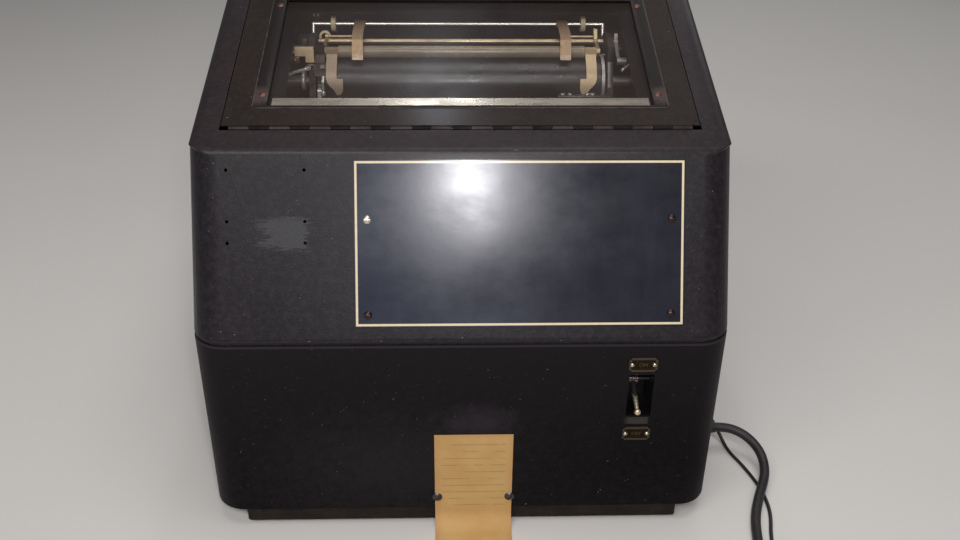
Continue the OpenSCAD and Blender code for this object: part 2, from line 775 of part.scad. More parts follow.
// Disc with a bent wire handle at the shaft's right end
module platen_crank() {
    mid = shaft_r + 1.5;
    wire_r = 1.9;
    wire = [[mid, 5], [mid, 14.7], [mid - 6.4, 15.1], [mid - 10.5, 13.5], [mid - 13.4, 10.1]];
    color("#77787a") stand() difference() {
        union() {
            bar(platen_at, 6.8, shaft_r, shaft_r + 3);
            translate([0, platen_at[0], platen_at[1]]) {
                for (i = [0:len(wire) - 2]) rod_between([wire[i][0], 0, wire[i][1]],
                                                        [wire[i + 1][0], 0, wire[i + 1][1]], wire_r);
                for (i = [1:len(wire) - 1]) translate([wire[i][0], 0, wire[i][1]]) sphere(r = wire_r + 0.1);
            }
        }
        bar(platen_at, 2.2 + fit, shaft_r - 1, shaft_r + 4);
    }
}

// Curved plates in front of the platen's ends, each seated on its side frame
module platen_guard() {
    r = platen_r + 1.5;
    guard_x = unit_x + platen_l / 2 + 0.4;
    color("#c2c4c6") stand() {
        along_x(guard_x, guard_x + 2.8) band(arc(platen_at, r, 62, 196, 16), 0.9);
        along_x(guard_x, frame_r) band(arc(platen_at, r, 62, 80, 4), 0.9);
        along_x(frame_l, frame_l + 8.3)
            band(concat([[217.6, 351.5], [216.9, 343]], arc(platen_at, r, 120, 152, 5)), 0.9);
    }
}

// Pressure roller on its two arms

module pressure_roller() {
    half = roller_l / 2;
    axle = arm_in + arm_w;
    color("#8d8a80") stand() {
        bar(roller_at, roller_r, unit_x - half, unit_x + half);
        bar(roller_at, roller_axle_r, unit_x - axle, unit_x + axle);
    }
}

// Side view of an arm from the roller's axle to the finger bar, and the lug behind the right one
arm_outline = [
    roller_at + [-1, -3.6], roller_at + [0, 3.6], finger_bar_at + [-3, 4], finger_bar_at + [3, 2.5],
    finger_bar_at + [2, -3.5]
];
lug_outline = [
    finger_bar_at + [-5, 3], finger_bar_at + [0, 11.5], finger_bar_at + [9, 9.5],
    finger_bar_at + [9, 5], finger_bar_at + [3, -2]
];

module roller_arm(sx) {
    x0 = sx > 0 ? unit_x + arm_in : unit_x - arm_in - arm_w;
    stud_from = unit_x + sx * (arm_in + 1);
    stud_to = unit_x + sx * (strap_x + strap_w / 2 + 2);
    difference() {
        union() {
            bar(roller_at, 4, x0, x0 + arm_w);
            bar(finger_bar_at, 4.2, x0, x0 + arm_w);
            along_x(x0, x0 + arm_w) polygon(arm_outline);
            if (sx > 0) along_x(x0, x0 + arm_w) polygon(lug_outline);
            bar(finger_bar_at + [2.6, 3.7], 2.1, x0, x0 + arm_w);
            bar(finger_bar_at + [2.6, 3.7], 1.2, min(stud_from, stud_to), max(stud_from, stud_to));
        }
        bar(roller_at, roller_axle_r + fit, x0 - 1, x0 + arm_w + 1);
        bar(finger_bar_at, finger_bar_r + fit, x0 - 1, x0 + arm_w + 1);
    }
}

module roller_arms() {
    color("#9c7a35") stand() {
        roller_arm(-1);
        roller_arm(1);
    }
}

// Finger bar with the two paper fingers and the release lever

module finger_bar() {
    color("#b8914a") stand()
        bar(finger_bar_at, finger_bar_r, frame_l - frame_t - 11.5, frame_r + frame_t + 8);
}

// Side view of a finger, from its block round the front of the platen
function finger_path() = concat([roller_at + [-3.6, -1.4]],
    arc(platen_at, platen_r + 2, 119, 191, 10));

// Front view of a right-hand finger: [outward from its inner edge, height above the platen's middle]
finger_front = [
    [0, 28], [0, 9.4], [-5.4, 9.4], [-5.4, 1], [-4.4, -2.6], [-2.4, -4.6], [0.4, -4.6], [3.2, 0.6],
    [6.4, 3.7], [8.4, 6.6], [9.2, 10], [9.2, 28]
];

module paper_finger() {
    inner = finger_in + (block_w - finger_w) / 2;
    intersection() {
        along_x(inner - 6, inner + finger_w + 1) band(finger_path(), strap_t);
        translate([inner, 240, platen_at[1]]) rotate([90, 0, 0]) linear_extrude(60) polygon(finger_front);
    }
    difference() {
        translate([finger_in, roller_at[0] - 4, roller_at[1] - 2.8]) cube([block_w, 8, 6]);
        bar(roller_at, roller_axle_r + fit, finger_in - 1, finger_in + block_w + 1);
    }
}

module paper_fingers() {
    color("#a8875a") stand() translate([unit_x, 0, 0]) {
        mirror([1, 0, 0]) paper_finger();
        paper_finger();
    }
}

module release_lever() {
    x0 = frame_r + frame_t + 4.3;
    knob_at = platen_at + [-3, 19.5];
    color("#bfc1c3") stand() difference() {
        union() {
            bar(finger_bar_at, 4.5, x0, x0 + 3);
            along_x(x0, x0 + 3) band([finger_bar_at + [1, 7], finger_bar_at + [-2, 0],
                                      knob_at + [9, 3], knob_at], 3);
            bar(knob_at, 3.2, x0, x0 + 8.4);
        }
        bar(finger_bar_at, finger_bar_r + fit, x0 - 1, x0 + 4);
    }
}

// Paper straightener: wire bail, cream collars and flat guide straps

module straightener_rod() {
    color("#dcd8cc") stand() {
        bar(straightener_at, straightener_r, straightener_x - leg_half, straightener_x + leg_half);
        for (sx = [-1, 1]) {
            leg = straightener_x + sx * leg_half;
            pin = sx < 0 ? frame_l : frame_r + frame_t;
            translate([leg, straightener_at[0], straightener_at[1]]) sphere(r = straightener_r + 0.1);
            rod_between([leg, straightener_at[0], straightener_at[1]], [leg, bail_at[0], bail_at[1]],
                        straightener_r);
            translate([leg, bail_at[0], bail_at[1]]) sphere(r = straightener_r + 0.1);
            bar(bail_at, straightener_r, min(leg, pin), max(leg, pin));
        }
    }
}

module straightener_collars() {
    color("#d9c58a") stand() for (sx = [-1, 1]) {
        mid = straightener_x + sx * collar_x;
        difference() {
            bar(straightener_at, collar_r, mid - 2, mid + 2);
            bar(straightener_at, straightener_r + fit, mid - 3, mid + 3);
        }
    }
}

// A strap runs from the rod forward over the roller and down in front of the platen
function strap_path() = [
    straightener_at + [1.5, 2.4], straightener_at + [-6, 3.8], straightener_at + [-37, 1.2],
    straightener_at + [-43, -2], platen_at + [-11.6, 26], platen_at + [-13, 23.4]
];

module guide_straps() {
    color("#b7a27c") stand() for (sx = [-1, 1]) {
        x0 = unit_x + sx * strap_x - strap_w / 2;
        difference() {
            union() {
                along_x(x0, x0 + strap_w) band(strap_path(), strap_t);
                bar(straightener_at, 3.2, x0, x0 + strap_w);
            }
            bar(straightener_at, straightener_r + fit, x0 - 1, x0 + strap_w + 1);
        }
    }
}

// Lever inside the left frame whose round tip rests on the ratchet's teeth
module detent_lever() {
    tip = platen_at + (ratchet_r + 2.4) * [cos(190), sin(190)];
    color("#c9cac8") stand() difference() {
        union() {
            bar(detent_at, 5, ratchet_x, ratchet_x + ratchet_t);
            along_x(ratchet_x, ratchet_x + ratchet_t) band([detent_at, [203, 300], tip], 3.6);
            bar(tip, 2, ratchet_x, ratchet_x + ratchet_t);
        }
        bar(detent_at, 2.5 + fit, ratchet_x - 1, ratchet_x + ratchet_t + 1);
    }
}

// Brass angle on the flat of the left frame's front edge, and a brass arch on its inner face
module brass_brackets() {
    flat_y = 216;
    color("#b5893c") stand() {
        translate([frame_l - 17.5, flat_y - 2, 342.5]) cube([16.5, 2, 8]);
        translate([frame_l - 8.4, flat_y - 2, 337]) cube([7.4, 2, 6]);
        translate([frame_l + 5.2, finger_bar_at[0] + 8, finger_bar_at[1] + 2.4])
            rotate([90, 0, 0]) linear_extrude(2) difference() {
                union() {
                    circle(5.2);
                    translate([-5.2, -4]) square([10.4, 4]);
                }
                circle(3.3);
                translate([-3.3, -5]) square([6.6, 5]);
            }
    }
}

// Type carriage on its rails

module carriage_rails() {
    color("#a7a7a4") stand() for (p = rail_at) bar(p, rail_r, frame_l, frame_r);
}

basket_c = [unit_x, 172, 276];
basket_tilt = 30;

module type_carriage() {
    color("#55565a") stand() difference() {
        union() {
            box_between(concat([unit_x - 30], rail_at[0] + [-12, -10]),
                        concat([unit_x + 30], rail_at[1] + [10, 8]));
            for (sx = [-1, 1])
                translate(concat([unit_x + sx * 17 - 4], rail_at[0] + [16, 7])) cube([8, 12, 17.5]);
            translate(basket_c) rotate([basket_tilt, 0, 0]) translate([0, 0, -6]) difference() {
                cylinder(r = 21, h = 6);
                translate([0, 0, -1]) cylinder(r = 13, h = 8);
                translate([-30, 1, -1]) cube([60, 30, 8]);
            }
        }
        for (p = rail_at) bar(p, rail_r + fit, unit_x - 31, unit_x + 31);
    }
}

module type_bars() {
    color("#8b8b88") stand() translate(basket_c) rotate([basket_tilt, 0, 0])
        for (i = [0:type_bar_count - 1]) rotate([0, 0, 200 + 140 * i / (type_bar_count - 1)]) {
            translate([15, -0.5, 0]) cube([17, 1, 4]);
            translate([31, -0.8, -3]) cube([2, 1.6, 6.5]);
        }
}

// Ribbon spools on brackets in front of the carriage

module ribbon_bracket(sx) {
    inner = unit_x + sx * (frame_gap / 2 + frame_t);
    outer = inner + sx * rack_t;
    shelf = unit_x + sx * (spool_x - spool_r - 2);
    box_between([min(inner, outer), 66, spool_z - 4], [max(inner, outer), 200, spool_z + 8]);
    box_between([min(shelf, outer), 66, spool_z - 4], [max(shelf, outer), 118, spool_z - 1]);
    translate([unit_x + sx * spool_x, spool_y, spool_z - 2]) cylinder(r = spool_post_r, h = spool_h + 6);
}

module ribbon_brackets() {
    color("#6c6c6e") stand() {
        ribbon_bracket(-1);
        ribbon_bracket(1);
    }
}

module ribbon_spool(sx) {
    flange_t = 1.2;
    z0 = spool_z - 1 + slip;
    translate([unit_x + sx * spool_x, spool_y, z0]) difference() {
        union() {
            cylinder(r = spool_r, h = flange_t);
            cylinder(r = 17, h = spool_h);
            translate([0, 0, spool_h - flange_t]) cylinder(r = spool_r, h = flange_t);
        }
        translate([0, 0, -1]) cylinder(r = spool_post_r + fit, h = spool_h + 2);
        for (a = [0:60:300]) rotate([0, 0, a]) translate([20.5, 0, spool_h - flange_t - 0.5])
            cylinder(r = 2, h = 3, $fn = 24);
    }
}

module ribbon_spool_left() {
    color("#777777") stand() ribbon_spool(-1);
}

module ribbon_spool_right() {
    color("#777777") stand() ribbon_spool(1);
}

// Spindle for the paper roll

module spindle_brackets() {
    arm = 4;
    color("#56575a") stand() for (sx = [-1, 1]) {
        x0 = sx < 0 ? frame_l : frame_r - arm;
        difference() {
            along_x(x0, x0 + arm) union() {
                polygon([[252, 272], [286, 272], [348, 281], [348, 299], [286, 304], [252, 304]]);
                translate(spindle_at) circle(9);
            }
            bar(spindle_at, spindle_r + fit, x0 - 1, x0 + arm + 1);
        }
    }
}

module paper_spindle() {
    color("#9b9b98") stand() {
        bar(spindle_at, spindle_r, frame_l + 0.5, frame_r - 0.5);
        for (sx = [-1, 1]) {
            c = unit_x + sx * (platen_l / 2 - 10.5);
            bar(spindle_at, 17, c - 1.5, c + 1.5);
            translate([c, spindle_at[0], spindle_at[1]]) rotate([0, -sx * 90, 0])
                cylinder(r1 = 13, r2 = 6, h = 16);
        }
    }
}

// Motor, main shaft and selector

module motor() {
    y = motor_at[0];
    z = motor_at[1];
    color("#3a3d3f") stand() difference() {
        union() {
            bar(motor_at, motor_r, motor_x[0] + 14, motor_x[1] - 14);
            bar(motor_at, motor_r - 5, motor_x[0] + 4, motor_x[1] - 4);
            bar(motor_at, 14, motor_x[0], motor_x[1]);
            for (x = [motor_x[0] + 24, motor_x[1] - 36])
                box_between([x, y - 34, pan_floor], [x + 12, y + 34, z - 20]);
        }
        bar(motor_at, motor_shaft_r + fit, motor_x[0] - 1, motor_x[1] + 1);
        for (a = [0:45:315]) for (x = [motor_x[0] + 3, motor_x[1] - 7])
            bar(motor_at + 26 * [cos(a), sin(a)], 5, x - 1, x + 5);
    }
}

// Gear outline with straight-sided teeth and backlash
function gear_points(n, phase) =
    let (r = gear_m * n / 2, ro = r + 0.8 * gear_m, ri = r - 1.15 * gear_m, p = 360 / n)
    [for (i = [0:n - 1]) each [
        for (q = [[ri, -0.29], [ro, -0.11], [ro, 0.11], [ri, 0.29]])
            q[0] * [cos(phase + (i + q[1]) * p), sin(phase + (i + q[1]) * p)]]];

module motor_rotor() {
    mesh_a = atan2(motor_at[1] - wheel_at[1], motor_at[0] - wheel_at[0]);
    color("#9a9a96") stand() {
        bar(motor_at, motor_shaft_r, -150, gear_x[1] + 3);
        bar(motor_at, 30, -146, -141);
        bar(motor_at, 12, -141, -118);
        for (a = [0, 180]) bar(motor_at + 22 * [cos(a), sin(a)], 6, -141, -126);
        translate([gear_x[0], motor_at[0], motor_at[1]]) rotate([90, 0, 90])
            linear_extrude(gear_x[1] - gear_x[0])
                polygon(gear_points(pinion_teeth, mesh_a + 180 + 180 / pinion_teeth));
    }
}

module main_shaft() {
    mesh_a = atan2(motor_at[1] - wheel_at[1], motor_at[0] - wheel_at[0]);
    color("#8f8f8b") stand() {
        bar(wheel_at, main_shaft_r, 16, 118);
        translate([gear_x[0], wheel_at[0], wheel_at[1]]) rotate([90, 0, 90])
            linear_extrude(gear_x[1] - gear_x[0]) polygon(gear_points(wheel_teeth, mesh_a));
        for (i = [0:5]) translate([62 + i * 6, wheel_at[0], wheel_at[1]]) rotate([60 * i, 0, 0])
            translate([0, 3, 0]) rotate([0, 90, 0]) cylinder(r = 13, h = 3);
    }
}

module shaft_bearings() {
    color("#4c4d50") stand() for (x = [46, 104]) difference() {
        union() {
            box_between([x, wheel_at[0] - 14, pan_floor], [x + 8, wheel_at[0] + 14, wheel_at[1]]);
            bar(wheel_at, 14, x, x + 8);
            box_between([x - 4, wheel_at[0] - 24, pan_floor], [x + 12, wheel_at[0] + 24, pan_floor + 6]);
        }
        bar(wheel_at, main_shaft_r + fit, x - 1, x + 9);
    }
}

module selector_unit() {
    color("#66543c") stand() {
        back = cover_d - pan_in - 12;
        z = pan_floor + 32;
        box_between([selector_x - 33, back - 54, pan_floor], [selector_x + 33, back, pan_floor + 8]);
        box_between([selector_x - 33, back - 8, pan_floor], [selector_x + 33, back, pan_floor + 78]);
        for (side = [-17, 17]) {
            bar_y(selector_x + side, z, 13, back - 42, back - 7.5);
            bar_y(selector_x + side, z, 16, back - 46, back - 41.5);
            bar_y(selector_x + side, z, 4, back - 50, back - 7.5);
        }
    }
}

// A round bar along Y at x, z
module bar_y(x, z, r, y0, y1) {
    translate([x, y0, z]) rotate([-90, 0, 0]) cylinder(r = r, h = y1 - y0);
}

// A round rod between two points
module rod_between(a, b, r) {
    v = b - a;
    l = norm(v);
    translate(a) rotate([0, acos(v[2] / l), atan2(v[1], v[0])]) cylinder(r = r, h = l);
}

// Margin bell outside the left frame

module bell_gong() {
    x0 = frame_l - frame_t;
    color("#b7a46a") stand() {
        bar(gong_at, 3, x0 - 20, x0);
        translate([x0 - 5, gong_at[0], gong_at[1]]) rotate([0, -90, 0]) rotate_extrude()
            polygon([[22.6, 0], [24, 0], [23.4, 5], [20.5, 9.4], [14, 12.6], [2, 13.6], [2, 12.2],
                     [13.4, 11.2], [19.2, 8.5], [22, 4.6]]);
        bar(gong_at, 5, x0 - 20, x0 - 18);
    }
}

module bell_hammer() {
    x0 = frame_l - frame_t - 12;
    ball = [hammer_at[0], gong_at[1]];
    color("#a5a5a2") stand() difference() {
        union() {
            bar(hammer_at, 5, x0, x0 + 3);
            along_x(x0, x0 + 3) translate(hammer_at - [2, 0]) square([4, ball[1] - hammer_at[1]]);
            translate([x0 + 2, ball[0], ball[1]]) sphere(r = 4);
        }
        bar(hammer_at, 2.5 + fit, x0 - 1, x0 + 5);
    }
}

// Cords

function sub_mean(p, i) = unit(p[min(i + 1, len(p) - 1)] - p[max(i - 1, 0)]);
function ring_at(c, t, r, n, turn) =
    let (side = unit(cross(t, [0, 0, 1])), up = cross(side, t))
    [for (k = [0:n - 1]) let (a = turn + 360 * k / n) c + r * (cos(a) * side + sin(a) * up)];

// A tube of triangles along the points, with n sides
module tube(points, r, n, turn) {
    m = len(points);
    rings = [for (i = [0:m - 1]) each ring_at(points[i], sub_mean(points, i), r, n, turn)];
    sides = [for (j = [0:m - 2]) for (i = [0:n - 1]) let (k = (i + 1) % n)
        each [[j * n + i, j * n + k, (j + 1) * n + i], [j * n + k, (j + 1) * n + k, (j + 1) * n + i]]];
    caps = [[for (i = [n - 1:-1:0]) i], [for (i = [0:n - 1]) (m - 1) * n + i]];
    polyhedron(rings, concat(sides, caps));
}

// Radius and height of a two-layer coil after t turns: in, up, and out again
function coil_r(t, r1, p, n1) =
    t < n1 ? r1 - p * t
    : t < n1 + 0.5 ? r1 - p * n1 - p * min(t - n1, n1 + 0.5 - t)
    : r1 - p * n1 + p * (t - n1 - 0.5);
function ease(u) = u < 0 ? 0 : u > 1 ? 1 : u * u * (3 - 2 * u);
function coil_z(t, n1, lift) = lift * ease((t - n1) / 0.5);
function coil_points(r1, d, turns, z1) =
    let (p = d + coil_side_gap, total = turns[0] + 0.5 + turns[1], n = round(total * 24))
    [for (i = [0:n]) let (t = i / 24)
        [coil_r(t, r1, p, turns[0]) * cos(360 * t), coil_r(t, r1, p, turns[0]) * sin(360 * t),
         z1 + coil_z(t, turns[0], d + coil_layer_gap)]];
function with_ends(p, d, tail) =
    let (a = p[0], b = p[len(p) - 1])
    concat([a - [0, d, 0]], p, [for (s = [tail / 3, tail * 2 / 3, tail]) b - [s, 0, 0]]);
// Least distance between turns, measured on the points that lie over half a turn apart
function least_gap(p, d) = min([for (i = [0:3:len(p) - 1]) for (j = [i + 14:1:len(p) - 1])
    norm(p[i] - p[j])]) - d;
function path_len(p) = len(p) < 2 ? 0 : [for (i = 1, s = norm(p[1] - p[0]); i < len(p);
    i = i + 1, s = s + (i < len(p) ? norm(p[i] - p[i - 1]) : 0)) s][len(p) - 2];

// The power coil lies left of its route and winds clockwise, the signal coil right of it
power_end = power_route[len(power_route) - 1];
signal_end = signal_route[len(signal_route) - 1];
power_turn_points = coil_points(power_coil_r, power_d, power_turns, power_end[2]);
signal_turn_points = coil_points(signal_coil_r, signal_d, signal_turns, signal_end[2]);
power_loops = with_ends(power_turn_points, power_d, power_tail);
signal_loops = with_ends(signal_turn_points, signal_d, signal_tail);

// Entry at the coil's right side for mirror 0, at its left side for mirror 1
module coil_frame(end, r1, d, flip) {
    translate([end[0], end[1] - d, 0]) mirror([flip, 0, 0]) translate([-r1, 0, 0])
        mirror([0, 1, 0]) children();
}

module cord_glands() {
    side_x = cover_w / 2;
    color("#161616") stand() {
        bar([power_gland_y, gland_z], 6.5, side_x - sheet - 1, side_x + 0.5);
        bar([power_gland_y, gland_z], 9, side_x, side_x + 4);
        translate([side_x + 4, power_gland_y, gland_z]) rotate([0, 90, 0])
            cylinder(r1 = 7.5, r2 = power_d / 2 + 0.6, h = relief_l - 4);
        bar([signal_gland_y, gland_z], 4, side_x - sheet - 1, side_x + 0.5);
        bar([signal_gland_y, gland_z], 6, side_x, side_x + 3);
        translate([side_x + 3, signal_gland_y, gland_z]) rotate([0, 90, 0])
            cylinder(r1 = 4, r2 = signal_d / 2 + 0.5, h = bushing_l - 3);
    }
}

module power_cord() {
    color("#1a1a1a") stand() tube(power_route, power_d / 2, 8, 22.5);
}

module signal_cord() {
    color("#222222") stand() tube(signal_route, signal_d / 2, 8, 22.5);
}

module power_coil() {
    echo(power_length = path_len(power_route) + path_len(power_loops));
    echo(power_gap = least_gap(power_loops, power_d));
    color("#1a1a1a") stand() coil_frame(power_end, power_coil_r, power_d, 0)
        tube(power_loops, power_d / 2, 6, 30);
}

module signal_coil() {
    echo(signal_length = path_len(signal_route) + path_len(signal_loops));
    echo(signal_gap = least_gap(signal_loops, signal_d));
    color("#222222") stand() coil_frame(signal_end, signal_coil_r, signal_d, 1)
        tube(signal_loops, signal_d / 2, 6, 30);
}

// A plug's axis continues the coil's tail along -X of the coil's frame
module power_plug() {
    at = power_loops[len(power_loops) - 1];
    r = at[2] - 0.2;
    color("#1c1c1c") stand() coil_frame(power_end, power_coil_r, power_d, 0)
        translate(at) rotate([0, -90, 0]) {
            cylinder(r1 = power_d / 2 + 0.8, r2 = r * 0.62, h = 12);
            translate([0, 0, 12]) cylinder(r1 = r * 0.62, r2 = r, h = 8);
            translate([0, 0, 20]) cylinder(r = r, h = 16);
            for (s = [-1, 1]) translate([-3.2, s * 6.4 - 0.75, 35.5]) cube([6.4, 1.5, 16.5]);
        }
}

module signal_plug() {
    at = signal_loops[len(signal_loops) - 1];
    r = at[2] - 0.2;
    color("#1c1c1c") stand() coil_frame(signal_end, signal_coil_r, signal_d, 1)
        translate(at) rotate([0, -90, 0]) {
            cylinder(r1 = signal_d / 2 + 0.5, r2 = r, h = 6);
            translate([0, 0, 6]) cylinder(r = r, h = 26);
            translate([0, 0, 32]) cylinder(r = 3.1, h = 22);
            translate([0, 0, 54]) cylinder(r1 = 2, r2 = 3.1, h = 2);
            translate([0, 0, 56]) cylinder(r1 = 3.1, r2 = 1.4, h = 4);
        }
}

base_pan();
base_feet();
cover_skirt();
cover_top();
hinge_cover_leaf();
hinge_pin();
sign_plate();
sign_screws();
switch_plates();
plate_rivets();
switch_body();
switch_lever();
info_card();
card_screws();
window_lid();
window_glass();
glass_strip();
glass_screws();
hinge_lid_leaf();
side_frame_left();
side_frame_right();
frame_tie_rods();
roller_arms();
brass_brackets();
platen_guard();
platen();
platen_shaft();
line_feed_ratchet();
platen_hub();
platen_crank();
pressure_roller();
finger_bar();
paper_fingers();
release_lever();
straightener_rod();
straightener_collars();
guide_straps();
detent_lever();
carriage_rails();
type_carriage();
type_bars();
ribbon_brackets();
ribbon_spool_left();
ribbon_spool_right();
spindle_brackets();
paper_spindle();
motor();
motor_rotor();
main_shaft();
shaft_bearings();
selector_unit();
bell_gong();
bell_hammer();
cord_glands();
power_cord();
power_coil();
power_plug();
signal_cord();
signal_coil();
signal_plug();
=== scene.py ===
"""Looks of the page teleprinter. Metres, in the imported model's frame."""
import math

import bmesh
import bpy
from mathutils import Matrix, Vector


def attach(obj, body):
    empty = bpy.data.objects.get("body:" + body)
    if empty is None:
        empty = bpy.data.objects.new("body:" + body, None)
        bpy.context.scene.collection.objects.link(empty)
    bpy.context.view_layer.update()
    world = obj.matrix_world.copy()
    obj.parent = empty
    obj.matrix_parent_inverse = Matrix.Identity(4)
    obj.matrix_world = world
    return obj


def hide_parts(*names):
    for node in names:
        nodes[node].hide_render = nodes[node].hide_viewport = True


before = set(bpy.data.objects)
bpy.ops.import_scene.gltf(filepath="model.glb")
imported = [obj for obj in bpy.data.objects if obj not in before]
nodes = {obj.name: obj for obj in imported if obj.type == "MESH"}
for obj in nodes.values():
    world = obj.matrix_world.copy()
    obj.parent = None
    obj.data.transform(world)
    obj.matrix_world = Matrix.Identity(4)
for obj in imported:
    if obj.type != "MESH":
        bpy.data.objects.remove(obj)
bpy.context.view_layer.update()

# Places, in millimetres from the cover's front, as in the CAD source
ORIGIN_Y = 211.0              # the model's origin lies this far behind the front
PANEL_FOOT_Z = 188.0          # where the leaning panel starts
BROW_Y, BROW_Z = 62.0, 318.0  # where it meets the sloped top
SLOPE = math.atan2(70.0, 224.0)
LEAN = math.atan2(BROW_Y, BROW_Z - PANEL_FOOT_Z)
SIGN_X, SIGN_V = 43.5, 73.5   # the sign's middle, across and up the panel
SIGN_HALF_X, SIGN_HALF_V = 126.0, 63.5
RIM_X = 165.5                 # the window rim's outer edge, to each side
RIM_FOOT, RIM_HEAD = 51.0, 219.0  # and up the slope
CARD_X = 8.8
PLATE_X, PLATE_ON_Z, PLATE_OFF_Z = 141.0, 163.4, 95.5
POWER_D, SIGNAL_D = 8.5, 3.2


def mm(x, y, z):
    return Vector((x / 1000, (y - ORIGIN_Y) / 1000, z / 1000))


def on_slope(x, s, n):
    """A point s up the sloped top from its front edge and n off it."""
    return mm(x, BROW_Y + s * math.cos(SLOPE) - n * math.sin(SLOPE),
              BROW_Z + s * math.sin(SLOPE) + n * math.cos(SLOPE))


def on_panel(x, v, n):
    """A point v up the leaning panel from its foot and n off it."""
    return mm(x, v * math.sin(LEAN) - n * math.cos(LEAN),
              PANEL_FOOT_Z + v * math.cos(LEAN) + n * math.sin(LEAN))


# Camera, fitted to the photograph

PHOTO_WIDTH = 960             # pixels
FOCAL = 1001.0                # pixels
PITCH, YAW, ROLL = 29.65, 2.0, 0.69
EYE = (-10.2, -639.8, 613.7)


def make_camera():
    """The camera that took the photograph."""
    pitch, yaw, roll = (math.radians(a) for a in (PITCH, YAW, ROLL))
    forward = Vector((math.sin(yaw) * math.cos(pitch), math.cos(yaw) * math.cos(pitch), -math.sin(pitch)))
    right = Vector((math.cos(yaw), -math.sin(yaw), 0))
    up = right.cross(forward)
    x_axis = math.cos(roll) * right + math.sin(roll) * up
    y_axis = -math.sin(roll) * right + math.cos(roll) * up
    data = bpy.data.cameras.new("photo_camera")
    data.sensor_width = 36
    data.lens = FOCAL * data.sensor_width / PHOTO_WIDTH
    data.clip_start = 0.02
    cam = bpy.data.objects.new("photo_camera", data)
    place = Matrix((x_axis, y_axis, -forward)).transposed().to_4x4()
    place.translation = mm(*EYE)
    cam.matrix_world = place
    bpy.context.collection.objects.link(cam)
    bpy.context.scene.camera = cam


make_camera()


# Material helpers

class Look:
    """A Principled material with short names for the nodes that feed it."""

    def __init__(self, name, **values):
        self.mat = bpy.data.materials.new(name)
        self.mat.use_nodes = True
        self.tree = self.mat.node_tree
        self.tree.nodes.clear()
        out = self.tree.nodes.new("ShaderNodeOutputMaterial")
        self.bsdf = self.tree.nodes.new("ShaderNodeBsdfPrincipled")
        self.tree.links.new(self.bsdf.outputs[0], out.inputs[0])
        self.set(**values)

    def set(self, **values):
        for key, value in values.items():
            name = key.replace("_", " ").title().replace("Ior", "IOR")
            if hasattr(value, "is_output"):
                self.tree.links.new(value, self.bsdf.inputs[name])
            elif name == "Base Color":
                self.bsdf.inputs[name].default_value = (*value, 1)
            else:
                self.bsdf.inputs[name].default_value = value

    def node(self, kind, ins=(), **props):
        n = self.tree.nodes.new("ShaderNode" + kind)
        for k, v in props.items():
            setattr(n, k, v)
        for i, v in (ins.items() if isinstance(ins, dict) else enumerate(ins)):
            if v is None:
                continue
            if hasattr(v, "is_output"):
                self.tree.links.new(v, n.inputs[i])
            else:
                n.inputs[i].default_value = v
        return n

    def coord(self, scale=None, turn=None):
        c = self.node("TexCoord").outputs["Object"]
        if scale or turn:
            c = self.node("Mapping", {"Vector": c, "Scale": scale or (1, 1, 1),
                                      "Rotation": turn or (0, 0, 0)}).outputs[0]
        return c

    def noise(self, scale, detail=2.0, rough=0.5, vec=None):
        return self.node("TexNoise", {"Vector": vec or self.coord(), "Scale": scale, "Detail": detail,
                                      "Roughness": rough}).outputs[0]

    def ridges(self, scale, vec=None):
        return self.node("TexVoronoi", {"Vector": vec or self.coord(), "Scale": scale},
                         feature="SMOOTH_F1").outputs["Distance"]

    def calc(self, op, a, b=None):
        return self.node("Math", [a, b], operation=op).outputs[0]

    def times(self, a, b):
        return self.calc("MULTIPLY", a, b)

    def vector(self, op, *ins):
        return self.node("VectorMath", ins, operation=op).outputs

    def span(self, value, low, high, to_low=0.0, to_high=1.0):
        return self.node("MapRange", {"Value": value, "From Min": low, "From Max": high,
                                      "To Min": to_low, "To Max": to_high}).outputs[0]

    def mix(self, fac, a, b):
        n = self.node("Mix", data_type="RGBA")
        for i, v in ((0, fac), (6, a), (7, b)):
            if hasattr(v, "is_output"):
                self.tree.links.new(v, n.inputs[i])
            else:
                n.inputs[i].default_value = v if i == 0 else (*v, 1)
        return n.outputs[2]

    def axis(self, name):
        return self.node("SeparateXYZ", [self.coord()]).outputs[name]

    def along(self, origin, direction):
        """Distance from a point along a direction, in metres."""
        reach = self.vector("DOT_PRODUCT", self.coord(), direction)["Value"]
        return self.calc("SUBTRACT", reach, origin.dot(Vector(direction)))

    def from_line(self, axis, middle):
        """Distance from a middle along one axis, in metres. The middle is in millimetres."""
        return self.calc("ABSOLUTE", self.calc("SUBTRACT", self.axis(axis), middle / 1000))

    def facing_up(self):
        return self.node("SeparateXYZ", [self.node("NewGeometry").outputs["Normal"]]).outputs[2]

    def done(self, height, distance, strength):
        bump = self.node("Bump", {"Height": height, "Distance": distance, "Strength": strength})
        self.set(normal=bump.outputs[0])
        return self.mat


def blot(look, center, radius, soft, rough):
    """A ragged patch round a point: 1 inside, 0 outside. radius is one value per axis."""
    off = look.vector("SUBTRACT", look.coord(), tuple(center))[0]
    scaled = look.vector("MULTIPLY", off, tuple(1 / r for r in radius))[0]
    dist = look.vector("LENGTH", scaled)["Value"]
    ragged = look.calc("ADD", dist, look.span(look.noise(90, 6, 0.7), 0.3, 0.7, -rough, rough))
    return look.span(ragged, 1 + soft / 2, 1 - soft / 2)


